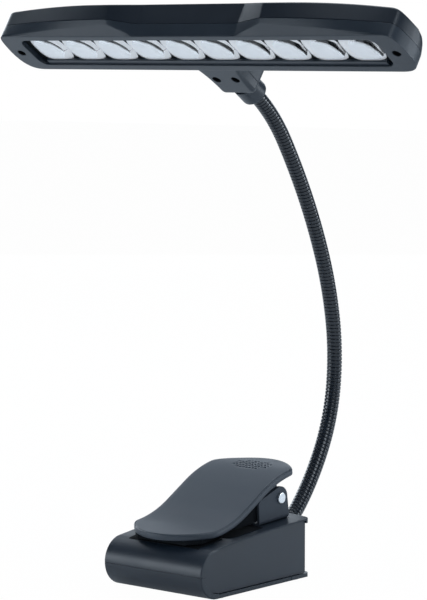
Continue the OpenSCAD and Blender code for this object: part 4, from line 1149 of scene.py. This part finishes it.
# Name, place, aim, width and height, and power
LAMPS = [
    ("overhead", (-0.05, 0.45, 1.30), (0, 0.1, 0), (1.4, 1.0), 12.0),
    ("left", (-1.25, 0.33, 0.60), (0, 0, 0.2), (0.6, 0.7), 5.5),
    ("right", (1.20, -0.45, 0.75), (0, 0, 0.2), (0.6, 0.6), 6.0),
    ("back", (-1.30, 1.55, 0.45), (0, 0, 0.1), (2.2, 0.9), 10.0),
    ("low_front", (-0.60, -0.70, 0.02), (0, -0.05, 0.27), (0.8, 0.6), 3.0),
    ("head_end", (0.92, 0.88, 0.19), (0.12, -0.05, 0.27), (0.45, 0.2), 3.0),
    ("nose", (-0.77, -0.95, 0.28), (0, -0.04, 0.035), (0.5, 0.35), 0.10),
]
NOSE_SPREAD = 26  # keeps the last one off all but the base's nose
FLOOR = 6.0  # metres from the middle to the floor's edges
SENSOR, FOCAL_PX, PHOTO_H = 36.0, 2624.5, 600
CAMERA_AT = Vector((848.1, -1003.10 + BASE_SHIFT, 270.8)) * MM
AZIMUTH, ELEVATION = 40.11, 5.50
CLIP = (0.05, 30)


def mix_shaders(t, fac, one, two, surface):
    mix = node(t, "ShaderNodeMixShader", Fac=fac)
    t.links.new(one, mix.inputs[1])
    t.links.new(two, mix.inputs[2])
    t.links.new(mix.outputs["Shader"], surface)


def stage():
    """A floor that looks white to the camera and light in the gloss, and takes a shadow; its glow
    in the gloss has painted shade under the object.
    """
    me = bpy.data.meshes.new("floor")
    corners = [(-FLOOR, -FLOOR, 0), (FLOOR, -FLOOR, 0), (FLOOR, FLOOR, 0), (-FLOOR, FLOOR, 0)]
    me.from_pydata(corners, [], [(0, 1, 2, 3)])
    o = put_in("floor", me)
    m, t, b = new_material("floor_white")
    fit(t, b, Base_Color=(0.86, 0.86, 0.86, 1), Roughness=0.7)
    path = t.nodes.new("ShaderNodeLightPath")
    to_camera = path.outputs["Is Camera Ray"]
    tint = t.nodes.new("ShaderNodeMixRGB")
    for socket, v in zip(tint.inputs, (to_camera, (0.80, 0.90, 1.0, 1), (1, 1, 1, 1))):
        give(t, socket, v)
    light = node(t, "ShaderNodeEmission", Strength=1.0, Color=tint.outputs[0])
    # In the gloss the floor is brightest a little way off, and fades under the object: painted
    # shade, a contact shadow painted into its reflections
    place = node(t, "ShaderNodeMapping", Vector=surface_at(t), Scale=(0.55, 0.55, 0.55))
    near = node(t, "ShaderNodeTexGradient", Vector=place.outputs["Vector"])
    near.gradient_type = "SPHERICAL"
    gloss_glow_painted_shade = ramp(t, near.outputs["Fac"], [(0.15, 0.0), (0.6, 0.75), (0.87, 0.75), (0.945, 0.28)])
    in_gloss = maths(t, "MULTIPLY", gloss_glow_painted_shade, path.outputs["Is Glossy Ray"])
    lit = maths(t, "MAXIMUM", maths(t, "MULTIPLY", to_camera, 0.985), in_gloss)
    out = next(n for n in t.nodes if n.type == "OUTPUT_MATERIAL")
    mix_shaders(t, lit, b.outputs["BSDF"], light.outputs["Emission"], out.inputs["Surface"])
    me.materials.append(m)


def world():
    """A dim cool room, white where the camera sees it or looks at it through a lens."""
    w = bpy.data.worlds.new("studio")
    w.use_nodes = True
    bpy.context.scene.world = w
    t = w.node_tree
    out = next(n for n in t.nodes if n.type == "OUTPUT_WORLD")
    room = next(n for n in t.nodes if n.type == "BACKGROUND")
    way = t.nodes.new("ShaderNodeTexCoord").outputs["Generated"]
    up = node(t, "ShaderNodeSeparateXYZ", Vector=way).outputs["Z"]
    fit(t, room, Strength=1.0, Color=ramp(t, up, [(0.0, (0.10, 0.115, 0.135)),
                                                  (0.5, (0.06, 0.07, 0.083)),
                                                  (0.95, (0.25, 0.27, 0.30))]))
    white = node(t, "ShaderNodeBackground", Strength=1.0, Color=(1, 1, 1, 1))
    path = t.nodes.new("ShaderNodeLightPath")
    seen = maths(t, "MAXIMUM", path.outputs["Is Camera Ray"], path.outputs["Is Transmission Ray"])
    mix_shaders(t, seen, room.outputs[0], white.outputs[0], out.inputs["Surface"])


def lamp(name, at, aim, size, power):
    d = bpy.data.lights.new(name, "AREA")
    d.shape = "RECTANGLE"
    d.size, d.size_y = size
    d.energy = power
    d.color = COOL
    if name == "nose":
        d.spread = radians(NOSE_SPREAD)
    o = put_in(name, d)
    o.location = at
    o.visible_camera = False
    o.rotation_euler = (Vector(aim) - Vector(at)).to_track_quat("-Z", "Y").to_euler()


def camera():
    d = bpy.data.cameras.new("camera")
    d.sensor_fit = "AUTO"
    d.sensor_width = SENSOR
    d.lens = FOCAL_PX / PHOTO_H * SENSOR
    d.clip_start, d.clip_end = CLIP
    o = put_in("camera", d)
    az, el = radians(AZIMUTH), radians(ELEVATION)
    look = Vector((-sin(az) * cos(el), cos(az) * cos(el), -sin(el)))
    right = Vector((cos(az), sin(az), 0))
    turn = Matrix((right, right.cross(look), -look)).transposed().to_4x4()
    o.matrix_world = Matrix.Translation(CAMERA_AT) @ turn
    bpy.context.scene.camera = o


stage()
world()
camera()
for values in LAMPS:
    lamp(*values)
bpy.context.scene.view_settings.view_transform = "Standard"
